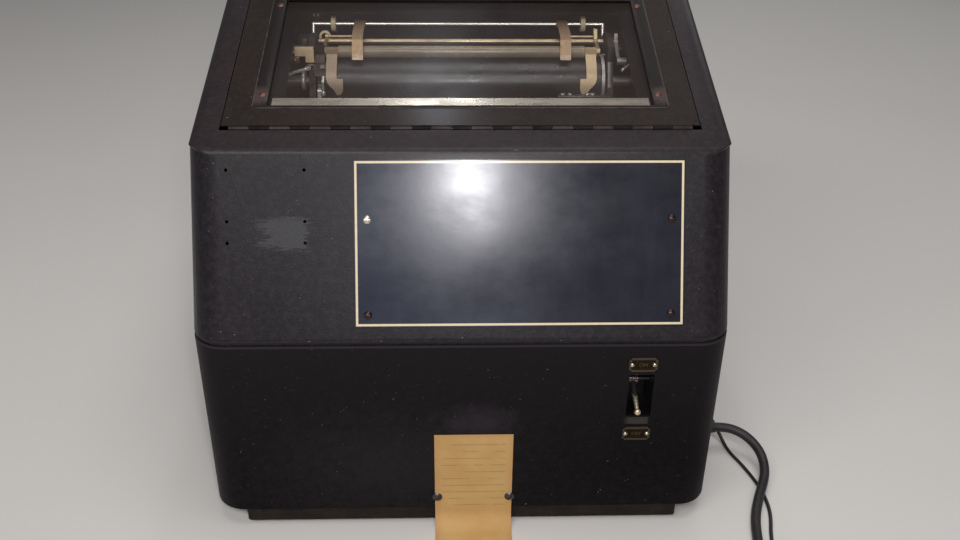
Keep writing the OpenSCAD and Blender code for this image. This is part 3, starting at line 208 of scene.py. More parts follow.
def box_patch(look, center, half, ragged, streaks):
    """1 inside a box in x and z on the front, with uneven edges. Lengths in metres."""
    grit = look.span(look.noise(30, 5, 0.75, look.coord(streaks)), 0.3, 0.7, -ragged, ragged)
    u = look.calc("DIVIDE", look.calc("SUBTRACT", look.axis("X"), center[0]), half[0])
    w = look.calc("DIVIDE", look.calc("SUBTRACT", look.axis("Z"), center[2]), half[1])
    right = look.span(look.calc("ADD", u, look.times(grit, 0.25)), 1.06, 0.94)
    left = look.span(look.calc("ADD", u, grit), -1.1, -0.75)
    rows = look.span(look.calc("ADD", look.calc("ABSOLUTE", w), look.times(grit, 0.3)), 1.08, 0.92)
    front = look.span(look.axis("Y"), -0.115, -0.125)
    return look.times(look.times(rows, front), look.times(left, right))


def slope_height(look):
    """Height off the top's sloped plane, in metres."""
    return look.along(on_slope(0, 0, 0), (0.0, -math.sin(SLOPE), math.cos(SLOPE)))


def wrinkle_paint(name, tone, dust_tone, dust_amount, patches, gloss, coat=0.0, coat_rough=0.25):
    """Black crackle enamel: fine rounded wrinkles, and dust on what faces up."""
    look = Look(name, metallic=0.0)
    wander = look.node("TexNoise", {"Vector": look.coord(), "Scale": 520.0, "Detail": 2.0}).outputs["Color"]
    shift = look.vector("MULTIPLY", wander, (0.0014, 0.0014, 0.0014))[0]
    warped = look.vector("ADD", look.coord(), shift)[0]
    height = look.calc("ADD", look.ridges(980, warped), look.times(look.noise(1900, 2, 0.6), 0.4))
    broad = look.noise(6, 5, 0.65)
    color = look.mix(look.span(broad, 0.35, 0.7), tone, tuple(c * 1.45 for c in tone))
    mottle = look.span(look.noise(210, 3, 0.75), 0.42, 0.72, 0.0, 0.75)
    color = look.mix(mottle, color, tuple(c * 3.0 + 0.002 for c in tone))
    specks = look.span(look.noise(640, 2, 0.9), 0.70, 0.76)
    color = look.mix(look.times(specks, 0.4), color, (0.115, 0.105, 0.11))
    lint = look.span(look.noise(330, 2, 0.9, look.coord((0.7, 1, 1))), 0.725, 0.75)
    color = look.mix(look.times(lint, 0.65), color, (0.26, 0.24, 0.24))
    scratches = look.span(look.noise(120, 3, 0.85, look.coord((0.3, 1, 1), (0.0, 0.25, 0.1))), 0.715, 0.745)
    color = look.mix(look.times(scratches, 0.30), color, (0.075, 0.068, 0.072))
    patchy = look.span(look.noise(22, 5, 0.7), 0.3, 0.75, 0.35, 1.0)
    dust = look.times(look.span(look.facing_up(), 0.3, 0.98), patchy)
    color = look.mix(look.times(dust, dust_amount), color, dust_tone)
    for patch_color, amount, mask in patches:
        color = look.mix(look.times(mask(look), amount), color, patch_color)
    look.set(base_color=color, roughness=look.span(broad, 0.3, 0.7, 0.42, 0.54), specular_ior_level=gloss,
             coat_weight=look.span(look.facing_up(), 0.5, 0.9, coat, coat * 0.35), coat_roughness=coat_rough)
    return look.done(height, 0.00016, 0.8)


def metal(name, color, rough, brush=None, tarnish=None, bumps=0.15, amount=0.5, scale=140, metallic=1.0):
    """Metal with a fine or brushed grain and stains."""
    look = Look(name, metallic=metallic)
    vec = look.coord(brush) if brush else look.coord()
    grain = look.noise(scale * 6 if not brush else scale, 3, 0.6, vec)
    stain = look.noise(scale * 0.35, 5, 0.65)
    base = look.mix(look.span(grain, 0.3, 0.7), tuple(c * 0.86 for c in color), color)
    if tarnish:
        base = look.mix(look.times(look.span(stain, 0.48, 0.68), amount), base, tarnish)
    uneven = look.calc("ADD", grain, stain)
    look.set(base_color=base, roughness=look.span(uneven, 0.7, 1.3, rough * 0.75, rough * 1.4))
    return look.done(grain, 0.00006, bumps)


def rubber(name, color, rough=0.55, dust=0.25, grain=1800):
    """Rubber with dust where it faces up."""
    look = Look(name)
    broad = look.noise(40, 5, 0.6)
    base = look.mix(look.span(broad, 0.35, 0.7), color, tuple(c * 1.5 + 0.004 for c in color))
    upward = look.span(look.facing_up(), 0.2, 1.0, 0.0, dust)
    lying = look.times(upward, look.span(look.noise(150, 4, 0.7), 0.4, 0.7))
    base = look.mix(lying, base, (0.16, 0.14, 0.12))
    look.set(base_color=base, roughness=look.span(broad, 0.3, 0.7, rough - 0.1, rough + 0.1))
    return look.done(look.noise(grain, 2, 0.5), 0.0001, 0.3)


def sign_enamel():
    """Navy enamel with a cream border line, lighter and cloudier to the left."""
    look = Look("sign_enamel")
    up_panel = look.along(on_panel(0, 0, 0), (0.0, math.sin(LEAN), math.cos(LEAN)))
    off_middle = look.calc("ABSOLUTE", look.calc("SUBTRACT", up_panel, SIGN_V / 1000))
    from_side = look.calc("SUBTRACT", SIGN_HALF_X / 1000, look.from_line("X", SIGN_X))
    from_end = look.calc("SUBTRACT", SIGN_HALF_V / 1000, off_middle)
    edge = look.calc("MINIMUM", from_side, from_end)
    worn = look.span(look.noise(300, 4, 0.7), 0.3, 0.75, 1.0, 0.85)
    band = look.times(look.span(edge, 0.0007, 0.0010), look.span(edge, 0.0027, 0.0024))
    line = look.times(band, worn)
    broad = look.noise(9, 5, 0.6)
    smears = look.noise(16, 6, 0.7, look.coord((0.55, 1, 1)))
    clouds = look.times(look.span(broad, 0.38, 0.72), look.span(smears, 0.3, 0.75, 0.3, 1.0))
    leftness = look.span(look.axis("X"), 0.12, -0.08, 0.25, 1.0)
    left_clouds = look.times(clouds, leftness)
    streaks = look.span(look.noise(34, 5, 0.7, look.coord((1, 0.12, 0.12))), 0.35, 0.7)
    color = look.mix(leftness, (0.0045, 0.0032, 0.0066), (0.0190, 0.0235, 0.0400))
    color = look.mix(look.times(streaks, 0.35), color, (0.030, 0.033, 0.048))
    color = look.mix(left_clouds, color, (0.036, 0.043, 0.068))
    color = look.mix(look.span(look.noise(900, 2, 0.6), 0.70, 0.76, 0.0, 0.6), color, (0.07, 0.07, 0.085))
    upright = look.coord((14, 1, 1), (0.0, 0.3, 0.2))
    scratch = look.span(look.noise(60, 3, 0.8, upright), 0.735, 0.75, 0.0, 0.35)
    color = look.mix(scratch, color, (0.09, 0.09, 0.10))
    color = look.mix(line, color, (0.74, 0.62, 0.42))
    look.set(base_color=color, roughness=look.span(look.calc("ADD", broad, smears), 0.7, 1.3, 0.17, 0.30),
             specular_ior_level=0.42)
    return look.done(look.noise(45, 3, 0.5), 0.0004, 0.10)


def card_stock():
    """Buff card with faint blank ruling, browner towards its edges."""
    look = Look("card_stock", roughness=0.8, specular_ior_level=0.2)
    fibre = look.noise(900, 4, 0.7, look.coord((1, 1, 0.5)))
    blotches = look.noise(24, 5, 0.6)
    color = look.mix(look.span(blotches, 0.35, 0.7), (0.50, 0.300, 0.112), (0.57, 0.375, 0.158))
    color = look.mix(look.span(fibre, 0.55, 0.8, 0.0, 0.3), color, (0.40, 0.25, 0.10))
    z = look.axis("Z")
    across = look.from_line("X", CARD_X)
    rim = look.calc("MAXIMUM", look.span(across, 0.026, 0.0322), look.span(z, 0.0915, 0.0956))
    rim = look.times(rim, look.span(blotches, 0.3, 0.7, 0.25, 0.75))
    color = look.mix(rim, color, (0.47, 0.235, 0.105))
    row = look.calc("FRACT", look.times(z, 1 / 0.0072))
    rule = look.times(look.span(row, 0.80, 0.84), look.span(row, 0.97, 0.93))
    field = look.times(look.span(z, 0.014, 0.016), look.span(z, 0.089, 0.087))
    inside = look.span(across, 0.0270, 0.0255)
    gaps = look.span(look.noise(60, 2, 0.5, look.coord((1, 0.1, 3.6))), 0.42, 0.5)
    ink = look.times(look.times(rule, field), look.times(inside, gaps))
    color = look.mix(look.times(ink, 0.45), color, (0.25, 0.13, 0.055))
    look.set(base_color=color)
    return look.done(fibre, 0.00012, 0.4)


def worn_rim():
    """Rim round the window: the lid's paint, rubbed along its edges and round its two lower screws."""
    look = Look("worn_rim", specular_ior_level=0.2)
    up_slope = look.along(on_slope(0, 0, 0), (0.0, math.cos(SLOPE), math.sin(SLOPE)))
    off_middle = look.calc("ABSOLUTE", look.calc("SUBTRACT", up_slope, (RIM_FOOT + RIM_HEAD) / 2000))
    from_side = look.calc("SUBTRACT", RIM_X / 1000, look.calc("ABSOLUTE", look.axis("X")))
    from_end = look.calc("SUBTRACT", (RIM_HEAD - RIM_FOOT) / 2000, off_middle)
    edge = look.calc("MINIMUM", from_side, from_end)
    rub = look.noise(90, 5, 0.75)
    fine = look.noise(700, 3, 0.7)
    line = look.times(look.span(edge, 0.0013, 0.0005), look.span(rub, 0.35, 0.6, 0.15, 0.9))
    mirrored = look.vector("ABSOLUTE", look.coord())[0]
    near = look.vector("DISTANCE", mirrored, (0.1625, 0.0852, 0.3385))["Value"]
    round_screw = look.span(look.calc("ADD", near, look.times(rub, 0.012)), 0.020, 0.012)
    lower = look.times(round_screw, look.span(look.axis("Y"), 0.0, -0.01))
    flow = look.span(look.noise(30, 4, 0.7, look.coord((1, 0.3, 0.3))), 0.45, 0.62)
    streak = look.times(look.span(edge, 0.0075, 0.0105), flow)
    color = look.mix(look.span(fine, 0.4, 0.75), (0.0085, 0.0062, 0.0054), (0.020, 0.0145, 0.0125))
    color = look.mix(look.times(streak, 0.55), color, (0.050, 0.036, 0.033))
    color = look.mix(look.times(lower, 0.7), color, (0.075, 0.052, 0.046))
    color = look.mix(line, color, (0.085, 0.070, 0.066))
    look.set(base_color=color, roughness=look.span(rub, 0.3, 0.7, 0.45, 0.6))
    return look.done(look.calc("ADD", look.ridges(980), fine), 0.00012, 0.7)


def label_metal():
    """Dark etched plates with a brass edge line."""
    look = Look("label_metal")
    from_side = look.calc("SUBTRACT", 0.0112, look.from_line("X", PLATE_X))
    from_ends = [look.calc("SUBTRACT", 0.0065, look.from_line("Z", z)) for z in (PLATE_ON_Z, PLATE_OFF_Z)]
    edge = look.calc("MINIMUM", from_side, look.calc("MAXIMUM", *from_ends))
    grime = look.noise(260, 4, 0.7)
    rub = look.noise(500, 3, 0.7)
    border = look.times(look.span(edge, 0.0020, 0.0015), look.span(rub, 0.3, 0.5, 0.55, 1.0))
    color = look.mix(look.span(grime, 0.4, 0.7), (0.0080, 0.0045, 0.0018), (0.024, 0.0135, 0.0055))
    color = look.mix(border, color, (0.092, 0.068, 0.046))
    look.set(base_color=color, metallic=look.times(border, 0.6), specular_ior_level=0.10,
             roughness=look.span(grime, 0.3, 0.7, 0.34, 0.55))
    return look.done(look.calc("ADD", look.times(border, 2.0), grime), 0.0001, 0.4)


def glass():
    """Old glass: a dusty film and a soft gloss."""
    look = Look("window_glass", metallic=0.0, alpha=0.14, specular_ior_level=0.45)
    smear = look.noise(18, 5, 0.6)
    film = look.mix(look.span(smear, 0.4, 0.75), (0.095, 0.072, 0.064), (0.135, 0.108, 0.098))
    look.set(base_color=film, roughness=look.span(smear, 0.35, 0.7, 0.20, 0.34))
    look.mat.surface_render_method = "BLENDED"
    return look.mat


def base_enamel():
    """The base's dirty brown-black enamel."""
    look = Look("base_enamel", specular_ior_level=0.25)
    dirt = look.noise(70, 6, 0.7)
    streak = look.noise(30, 4, 0.6, look.coord((1, 1, 6)))
    color = look.mix(look.span(dirt, 0.35, 0.65), (0.0065, 0.0038, 0.0027), (0.0175, 0.0108, 0.0078))
    color = look.mix(look.span(look.noise(420, 4, 0.7), 0.62, 0.7, 0.0, 0.6), color, (0.06, 0.046, 0.038))
    look.set(base_color=color, roughness=look.span(streak, 0.3, 0.7, 0.6, 0.85))
    return look.done(dirt, 0.0004, 0.5)


def glint_and_wear_screw(name, bright, dark, spot, reach):
    """Slotted screws of which those near the spot are made bright: partly rubbed metal, partly a painted
    glint.
    """
    look = Look(name, metallic=1.0)
    near = look.vector("DISTANCE", look.coord(), tuple(spot))["Value"]
    # Partly painted glint: this mask makes the screws near the spot bright, for wear and for the glint they
    # show.
    rubbed = look.span(near, reach, reach * 0.6)
    grain = look.noise(700, 3, 0.6)
    dull = look.mix(look.span(grain, 0.35, 0.65), dark, tuple(c * 1.7 for c in dark))
    color = look.mix(rubbed, dull, bright)
    look.set(base_color=color, roughness=look.span(grain, 0.3, 0.7, 0.28, 0.45))
    return look.done(grain, 0.00006, 0.3)


def two_tone(name, along, split, low, high, rough=0.32, stain=0.5, metallic=1.0):
    """Metal that changes from one tone to the other at a place along an axis."""
    look = Look(name, metallic=metallic)
    grain = look.noise(500, 3, 0.6)
    tint = look.mix(look.span(look.axis(along), split - 0.0002, split + 0.0002), low, high)
    tint = look.mix(look.span(grain, 0.45, 0.75, 0.0, stain), tint, (0.09, 0.06, 0.04))
    look.set(base_color=tint, roughness=look.span(grain, 0.3, 0.7, rough * 0.85, rough * 1.25))
    return look.done(grain, 0.00008, 0.3)


def plastic(name, color, rough, mark=None):
    """Moulded plastic or smooth enamel, faintly uneven."""
    look = Look(name)
    broad = look.noise(60, 4, 0.6)
    base = look.mix(look.span(broad, 0.35, 0.7), color, mark or tuple(c * 0.7 for c in color))
    uneven = look.noise(200, 3, 0.6)
    look.set(base_color=base, roughness=look.span(uneven, 0.3, 0.7, rough * 0.8, rough * 1.3))
    return look.done(look.noise(1200, 2, 0.5), 0.00005, 0.25)


DUST = (0.070, 0.047, 0.038)


def taller(low, high, top=1.0):
    """A mask that grows with height. Metres."""
    return lambda look: look.span(look.axis("Z"), low, high, 0.0, top)


def smudge(center, radius, soft):
    """A soft ragged mask round a point in millimetres."""
    return lambda look: blot(look, mm(*center), radius, soft, 0.5)


def scuff(center, half, ragged, streaks):
    """A mask with uneven edges, on the front."""
    return lambda look: box_patch(look, center, half, ragged, streaks)


MATS = {
    "skirt": wrinkle_paint("wrinkle_skirt", (0.0026, 0.0020, 0.0024), DUST, 0.2, [
        # Painted shade: the skirt is painted darker towards its foot and lighter towards its top.
        ((0.0125, 0.0100, 0.0120), 1.0, taller(0.06, 0.185, 0.8)),
        # Painted highlight: the skirt's top lip, from 181 mm up, is painted lighter where it catches the
        # light.
        ((0.040, 0.034, 0.040), 0.7, taller(0.1802, 0.1812)),
        ((0.050, 0.043, 0.058), 0.30, smudge((13, 0, 108), (0.024, 0.02, 0.013), 1.3)),
        ((0.030, 0.027, 0.032), 0.35, smudge((-60, 0, 60), (0.07, 0.02, 0.04), 1.6)),
        ((0.060, 0.050, 0.046), 0.7, scuff(mm(140.4, 0, 108.4), (0.0090, 0.0034), 0.6, (60, 60, 60))),
    ], gloss=0.09),
    "top": wrinkle_paint("wrinkle_top", (0.0074, 0.0058, 0.0080), (0.066, 0.042, 0.032), 0.28, [
        ((0.046, 0.045, 0.051), 0.80,
         scuff(on_panel(-135.4, 81.5, 0), (0.0178, 0.0106), 1.15, (2.2, 2.2, 22))),
    ], gloss=0.20, coat=0.25, coat_rough=0.27),
    "lid": wrinkle_paint("wrinkle_lid", (0.0060, 0.0044, 0.0038), (0.056, 0.036, 0.027), 0.36, [
        # Painted shade: the lid is painted near black where it lies more than a millimetre below the slope,
        # on the ledge round the glass.
        ((0.0045, 0.0033, 0.0028), 1.0, lambda look: look.span(slope_height(look), -0.0009, -0.0014)),
    ], gloss=0.13, coat=0.40, coat_rough=0.20),
    "bezel": worn_rim(),
    "base": base_enamel(),
    "foot": rubber("foot_rubber", (0.02, 0.02, 0.02)),
    "sign": sign_enamel(),
    "card": card_stock(),
    "label": label_metal(),
    "glass": glass(),
    "bright": metal("bright_nickel", (0.96, 0.93, 0.84), 0.30, tarnish=(0.70, 0.64, 0.52), amount=0.3,
                    metallic=0.7),
    "rivet": metal("label_rivets", (0.66, 0.60, 0.46), 0.22, tarnish=(0.40, 0.32, 0.20)),
    "strip": metal("strip_nickel", (0.46, 0.40, 0.325), 0.27, brush=(0.2, 1, 1), tarnish=(0.30, 0.25, 0.19),
                   bumps=0.02, amount=0.35, scale=150, metallic=0.75),
    "steel": metal("satin_steel", (0.50, 0.48, 0.44), 0.36, tarnish=(0.22, 0.17, 0.13), metallic=0.75),
    "dull_steel": metal("dull_steel", (0.20, 0.17, 0.145), 0.40, tarnish=(0.08, 0.06, 0.048), metallic=0.7),
    "dark_steel": metal("dark_steel", (0.11, 0.105, 0.10), 0.38, tarnish=(0.05, 0.04, 0.035)),
    "hinge_light": metal("hinge_worn", (0.056, 0.045, 0.042), 0.55, tarnish=(0.026, 0.020, 0.018)),
    "hinge_dark": metal("hinge_black", (0.020, 0.016, 0.015), 0.55, tarnish=(0.01, 0.008, 0.008)),
    "copper": metal("worn_copper", (0.20, 0.105, 0.080), 0.50, tarnish=(0.10, 0.062, 0.050)),
    # Partly painted glint: the sign's top left screw is made bright, partly for wear and partly for its
    # glint.
    "sign_screw": glint_and_wear_screw("sign_screws_worn_and_glint", (0.75, 0.70, 0.58), (0.045, 0.031, 0.027),
                             mm(-75, 42, 273), 0.02),
    "brass": metal("aged_brass", (0.52, 0.41, 0.26), 0.34, tarnish=(0.24, 0.16, 0.09), metallic=0.85),
    "pale_brass": plastic("pale_brass", (0.95, 0.76, 0.50), 0.30, (0.50, 0.37, 0.21)),
    "hub": two_tone("nut_and_sleeve", "X", -0.1583, (0.50, 0.30, 0.17), (0.10, 0.085, 0.07)),
    "guard": two_tone("guard_plates", "X", 0.0, (0.030, 0.020, 0.016), (0.42, 0.39, 0.36), 0.40, 0.4, 0.6),
    "strap": two_tone("strap_plates", "Z", 0.3442, (0.42, 0.33, 0.225), (0.385, 0.255, 0.145),
                      0.42, 0.3, 0.5),
    "toggle": two_tone("toggle_lever", "Z", 0.1318, (0.84, 0.68, 0.50), (0.15, 0.125, 0.115),
                       0.24, 0.2, 0.85),
    "red_brass": metal("reddish_block", (0.32, 0.19, 0.14), 0.42, tarnish=(0.14, 0.09, 0.07)),
    # Painted light: the right finger is painted lighter than the left, as if more light fell on it.
    "finger": two_tone("finger_plates_right_lit", "X", 0.0, (0.385, 0.285, 0.195), (0.66, 0.48, 0.285),
                       0.40, 0.15, 0.2),
    "frame": plastic("frame_enamel", (0.0095, 0.0058, 0.0048), 0.65, (0.020, 0.0125, 0.0105)),
    "motor": plastic("motor_enamel", (0.02, 0.023, 0.025), 0.40),
    "cream": plastic("cream_plastic", (0.66, 0.55, 0.34), 0.34, (0.50, 0.37, 0.19)),
    "bakelite": plastic("black_bakelite", (0.004, 0.004, 0.0045), 0.34),
    "platen": rubber("platen_rubber", (0.012, 0.0095, 0.0085), 0.33, 0.04, 900),
    "roller": rubber("roller_rubber", (0.225, 0.175, 0.115), 0.24, 0.05, 900),
    "cord": rubber("cord_rubber", (0.0095, 0.0075, 0.008), 0.52, 0.10),
    "vinyl": rubber("cord_vinyl", (0.009, 0.009, 0.010), 0.36, 0.08),
    "plug": plastic("plug_moulding", (0.014, 0.014, 0.015), 0.42),
    "ink_gold": metal("brass_letters", (0.17, 0.12, 0.06), 0.45, tarnish=(0.08, 0.055, 0.03)),
}
FINISH = {
    "base_pan": "base", "base_feet": "foot", "cover_skirt": "skirt", "cover_top": "top",
    "hinge_cover_leaf": "hinge_light", "hinge_pin": "dull_steel", "sign_plate": "sign",
    "sign_screws": "sign_screw", "switch_plates": "label", "plate_rivets": "rivet",
    "switch_body": "bakelite", "switch_lever": "toggle", "info_card": "card", "card_screws": "dark_steel",
    "window_lid": "lid", "window_glass": "glass", "glass_strip": "strip", "glass_screws": "copper",
    "hinge_lid_leaf": "hinge_dark", "side_frame_left": "frame", "side_frame_right": "frame",
    "frame_tie_rods": "dull_steel", "roller_arms": "brass", "brass_brackets": "pale_brass",
    "platen_guard": "guard", "platen": "platen", "platen_shaft": "dull_steel",
    "line_feed_ratchet": "dull_steel", "platen_hub": "hub", "platen_crank": "steel",
    "pressure_roller": "roller", "finger_bar": "brass", "paper_fingers": "finger",
    "release_lever": "steel", "straightener_rod": "bright", "straightener_collars": "cream",
    "guide_straps": "strap", "detent_lever": "bright", "carriage_rails": "steel",
    "type_carriage": "dark_steel", "type_bars": "steel", "ribbon_brackets": "dark_steel",
    "ribbon_spool_left": "steel", "ribbon_spool_right": "steel", "spindle_brackets": "dark_steel",
    "paper_spindle": "steel", "motor": "motor", "motor_rotor": "steel", "main_shaft": "steel",
    "shaft_bearings": "frame", "selector_unit": "copper", "bell_gong": "brass", "bell_hammer": "steel",
    "cord_glands": "cord", "power_cord": "cord", "power_coil": "cord", "power_plug": "plug",
    "signal_cord": "vinyl", "signal_coil": "vinyl", "signal_plug": "plug",
}


# Cords: the same routes as the CAD source, smoothed and given round sections

POWER = [(236, 92, 27), (240, 92, 27), (248.9, 90.8, 26.5), (257.2, 87.4, 25.2), (264.4, 81.9, 23),
         (269.9, 74.7, 20.2), (273.3, 66.4, 17.2), (274.3, 57.4, 14.2), (273, 47.4, 11.4), (269.2, 36.8, 9.3),
         (264, 26, 7.6), (259, 15, 6.2), (254.6, 4, 5), (251, -8, 4.5), (248.5, -20, 4.3),
         (246.5, -33, 4.3), (245.5, -46, 4.4), (245, -60, 4.7), (245, -74, 5), (245, -88, 5.2),
         (245, -102, 5.3), (245, -116, 5.3)]
SIGNAL = [(222, 122, 27), (226, 122, 27), (231.2, 121.4, 25), (236.6, 119.4, 20.8), (241, 115.8, 15.4),
          (244.4, 111, 10.4), (246.8, 105.4, 6.6), (248.8, 98.6, 3.6), (250.8, 91, 1.9), (253.5, 82, 1.7),
          (257.5, 72, 1.7), (261, 61.5, 1.7), (264, 51, 1.7), (266.5, 40, 1.7), (268, 29, 1.7),
          (268.4, 18, 1.7), (267.6, 7, 1.7), (265.5, -4, 1.7), (262.5, -15, 1.7), (260, -26, 1.7),
          (258.2, -37, 1.8), (257.3, -48, 2), (257, -58, 2.4), (257, -66, 2.6), (257, -72, 2.6)]


def coil_loops(end, r1, d, turns, side, tail):
    """Points of the two-layer coil and its straight tail. side is -1 to the route's left, 1 to its right.

    The cord winds inwards on the floor, climbs in half a turn, and winds outwards on top."""
    pitch = d + 0.5
    inward, outward = turns
    count = round((inward + 0.5 + outward) * 24)
    points = []
    for i in range(1, count + 1):
        t = i / 24
        if t < inward:
            r = r1 - pitch * t
        elif t < inward + 0.5:
            r = r1 - pitch * inward - pitch * min(t - inward, inward + 0.5 - t)
        else:
            r = r1 - pitch * inward + pitch * (t - inward - 0.5)
        u = min(max((t - inward) / 0.5, 0), 1)
        z = end[2] + (d + 0.6) * u * u * (3 - 2 * u)
        a = 2 * math.pi * t
        points.append((end[0] - side * (r * math.cos(a) - r1), end[1] - d - r * math.sin(a), z))
    last = points[-1]
    points += [(last[0] + side * tail * k / 3, last[1], last[2]) for k in (1, 2, 3)]
    return [(end[0], end[1] - d, end[2])] + points


STEPS = 3                     # points of a smoothed path to one of its route


def smooth_path(points):
    """Catmull-Rom through the points, with straight ends."""
    p = [Vector(q) for q in points]
    p = [2 * p[0] - p[1]] + p + [2 * p[-1] - p[-2]]
    out = []
    for i in range(1, len(p) - 2):
        for k in range(STEPS):
            t = k / STEPS
            a, b, c, e = p[i - 1:i + 3]
            bend = (2 * a - 5 * b + 4 * c - e) * t * t + (3 * b - a - 3 * c + e) * t ** 3
            out.append(0.5 * (2 * b + (c - a) * t + bend))
    return out + [p[-2]]


def cord_curve(name, points, d, finish):
    """A round cord through points. Millimetres."""
    data = bpy.data.curves.new(name, "CURVE")
    data.dimensions = "3D"
    data.bevel_depth = d / 2000
    data.bevel_resolution = 5
    data.use_fill_caps = True
    spline = data.splines.new("POLY")
    spline.points.add(len(points) - 1)
    for target, q in zip(spline.points, points):
        target.co = (*mm(*q), 1)
    spline.use_smooth = True
    obj = bpy.data.objects.new(name, data)
    obj.data.materials.append(MATS[finish])
    bpy.context.collection.objects.link(obj)
    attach(obj, "machine")
    return obj


power_path = smooth_path(POWER + coil_loops(POWER[-1], 57, POWER_D, (2.5, 2.25), -1, 56))
signal_path = smooth_path(SIGNAL + coil_loops(SIGNAL[-1], 27, SIGNAL_D, (4, 3.75), 1, 26))
power_line = cord_curve("power_line", power_path, POWER_D, "cord")
signal_line = cord_curve("signal_line", signal_path, SIGNAL_D, "vinyl")
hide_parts("power_cord", "power_coil")
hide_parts("signal_cord", "signal_coil")


# Mesh helpers

def mesh_piece(name, build, finish, body, smooth=35):
    """An object from a function that fills a bmesh, with edges sharper than an angle kept sharp."""
    bm = bmesh.new()
    build(bm)
    bmesh.ops.recalc_face_normals(bm, faces=bm.faces)
    data = bpy.data.meshes.new(name)
    bm.to_mesh(data)
    bm.free()
    data.materials.append(MATS[finish])
    data.shade_smooth()
    data.set_sharp_from_angle(angle=math.radians(smooth))
    obj = bpy.data.objects.new(name, data)
    bpy.context.collection.objects.link(obj)
    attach(obj, body)


def frame_of(axis, up=Vector((0, 0, 1))):
    """Rotation whose Z is the axis."""
    z = Vector(axis).normalized()
    side = up if abs(z.dot(up)) < 0.95 else Vector((0, 1, 0))
    x = side.cross(z).normalized()
    return Matrix((x, z.cross(x), z)).transposed().to_4x4()


def lathe(bm, origin, axis, profile, sides):
    """Turns (radius, height) pairs, in millimetres, round an axis."""
    place = Matrix.Translation(origin) @ frame_of(axis)
    turns = [2 * math.pi * k / sides for k in range(sides)]
    rings = []
    for r, h in profile:
        points = [(r * math.cos(a), r * math.sin(a), h) for a in turns] if r else [(0, 0, h)]
        rings.append([bm.verts.new(place @ (Vector(q) / 1000)) for q in points])
    for a, b in zip(rings, rings[1:]):
        for k in range(sides):
            quad = [a[k % len(a)], a[(k + 1) % len(a)], b[(k + 1) % len(b)], b[k % len(b)]]
            bm.faces.new(list(dict.fromkeys(quad)))


def screw_head(bm, origin, axis, r, h, turn):
    """Domed slotted head, seated on origin: a disc, and half a dome on each side of the slot. Millimetres."""
    place = Matrix.Translation(origin) @ frame_of(axis) @ Matrix.Rotation(turn, 4, "Z")
    rim = 0.55 * h
    slot = 0.13 * r

    def vert(x, y, z):
        return bm.verts.new(place @ (Vector((x, y, z)) / 1000))

    circle = [(r * math.cos(a), r * math.sin(a)) for a in (2 * math.pi * k / 24 for k in range(24))]
    low, high = ([vert(x, y, z) for x, y in circle] for z in (0, rim))
    for k in range(24):
        bm.faces.new([low[k], low[(k + 1) % 24], high[(k + 1) % 24], high[k]])
    bm.faces.new(high)
    start = math.asin(slot / r)
    arc = [start + (math.pi - 2 * start) * k / 12 for k in range(13)]
    for sign in (-1, 1):
        layers = [[vert(f * r * math.cos(a), sign * max(f * r * math.sin(a), slot), z) for a in arc]
                  for f, z in ((1.0, rim), (0.86, h * 0.85), (0.55, h), (0.0, h * 1.05))]
        for a, b in zip(layers, layers[1:]):
            for k in range(12):
                bm.faces.new([a[k], a[k + 1], b[k + 1], b[k]])
        bm.faces.new([layer[0] for layer in layers] + [layer[-1] for layer in reversed(layers)])


def rod_path(bm, points, r, sides):
    """A round wire through points. Metres."""
    rings = []
    for i, p in enumerate(points):
        d = (points[min(i + 1, len(points) - 1)] - points[max(i - 1, 0)]).normalized()
        m = frame_of(d, Vector((1, 0, 0)))
        turns = [2 * math.pi * k / sides for k in range(sides)]
        rings.append([bm.verts.new(p + m @ Vector((r * math.cos(a), r * math.sin(a), 0))) for a in turns])
    for a, b in zip(rings, rings[1:]):
        for k in range(sides):
            bm.faces.new([a[k], a[(k + 1) % sides], b[(k + 1) % sides], b[k]])
    bm.faces.new(rings[0])
    bm.faces.new(rings[-1])


# Finish every carried-over node

MICRON = 1e6                  # to the metre


def soften_across(obj, angle):
    """Smooth shading that also runs across the borders between faces, with the real edges kept sharp."""
    data = obj.data
    data.shade_smooth()
    if "custom_normal" in data.attributes:
        data.attributes.remove(data.attributes["custom_normal"])
    spot = [tuple(round(c * MICRON) for c in v.co) for v in data.vertices]
    beside = {}
    for face in data.polygons:
        for a, b in face.edge_keys:
            beside.setdefault(frozenset((spot[a], spot[b])), []).append(face.normal.copy())
    limit = math.cos(math.radians(angle))
    for edge in data.edges:
        faces = beside[frozenset((spot[edge.vertices[0]], spot[edge.vertices[1]]))]
        edge.use_edge_sharp = len(faces) != 2 or faces[0].dot(faces[1]) < limit
    weld = obj.modifiers.new("weld", "WELD")
    weld.merge_threshold = 1.5 / MICRON


for name, obj in nodes.items():
    obj.data.materials.clear()
    obj.data.materials.append(MATS[FINISH[name]])
    soften_across(obj, 24)


# Lettering that the switch plates carry on any such switch

def letters(name, text, x, z, size):
    """Raised letters on the front. Millimetres."""
    data = bpy.data.curves.new(name, "FONT")
    data.body = text
    data.size = size / 1000
    data.align_x = "CENTER"
    data.align_y = "CENTER"
    data.extrude = 0.00006
    obj = bpy.data.objects.new(name, data)
    obj.matrix_world = Matrix.Translation(mm(x, -0.86, z)) @ Matrix.Rotation(math.radians(90), 4, "X")
    data.materials.append(MATS["ink_gold"])
    bpy.context.collection.objects.link(obj)
    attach(obj, "machine")


letters("label_on", "ON", PLATE_X, PLATE_ON_Z, 4.6)
letters("label_off", "OFF", PLATE_X, PLATE_OFF_Z, 4.6)


# Small fittings of the mechanism and the window

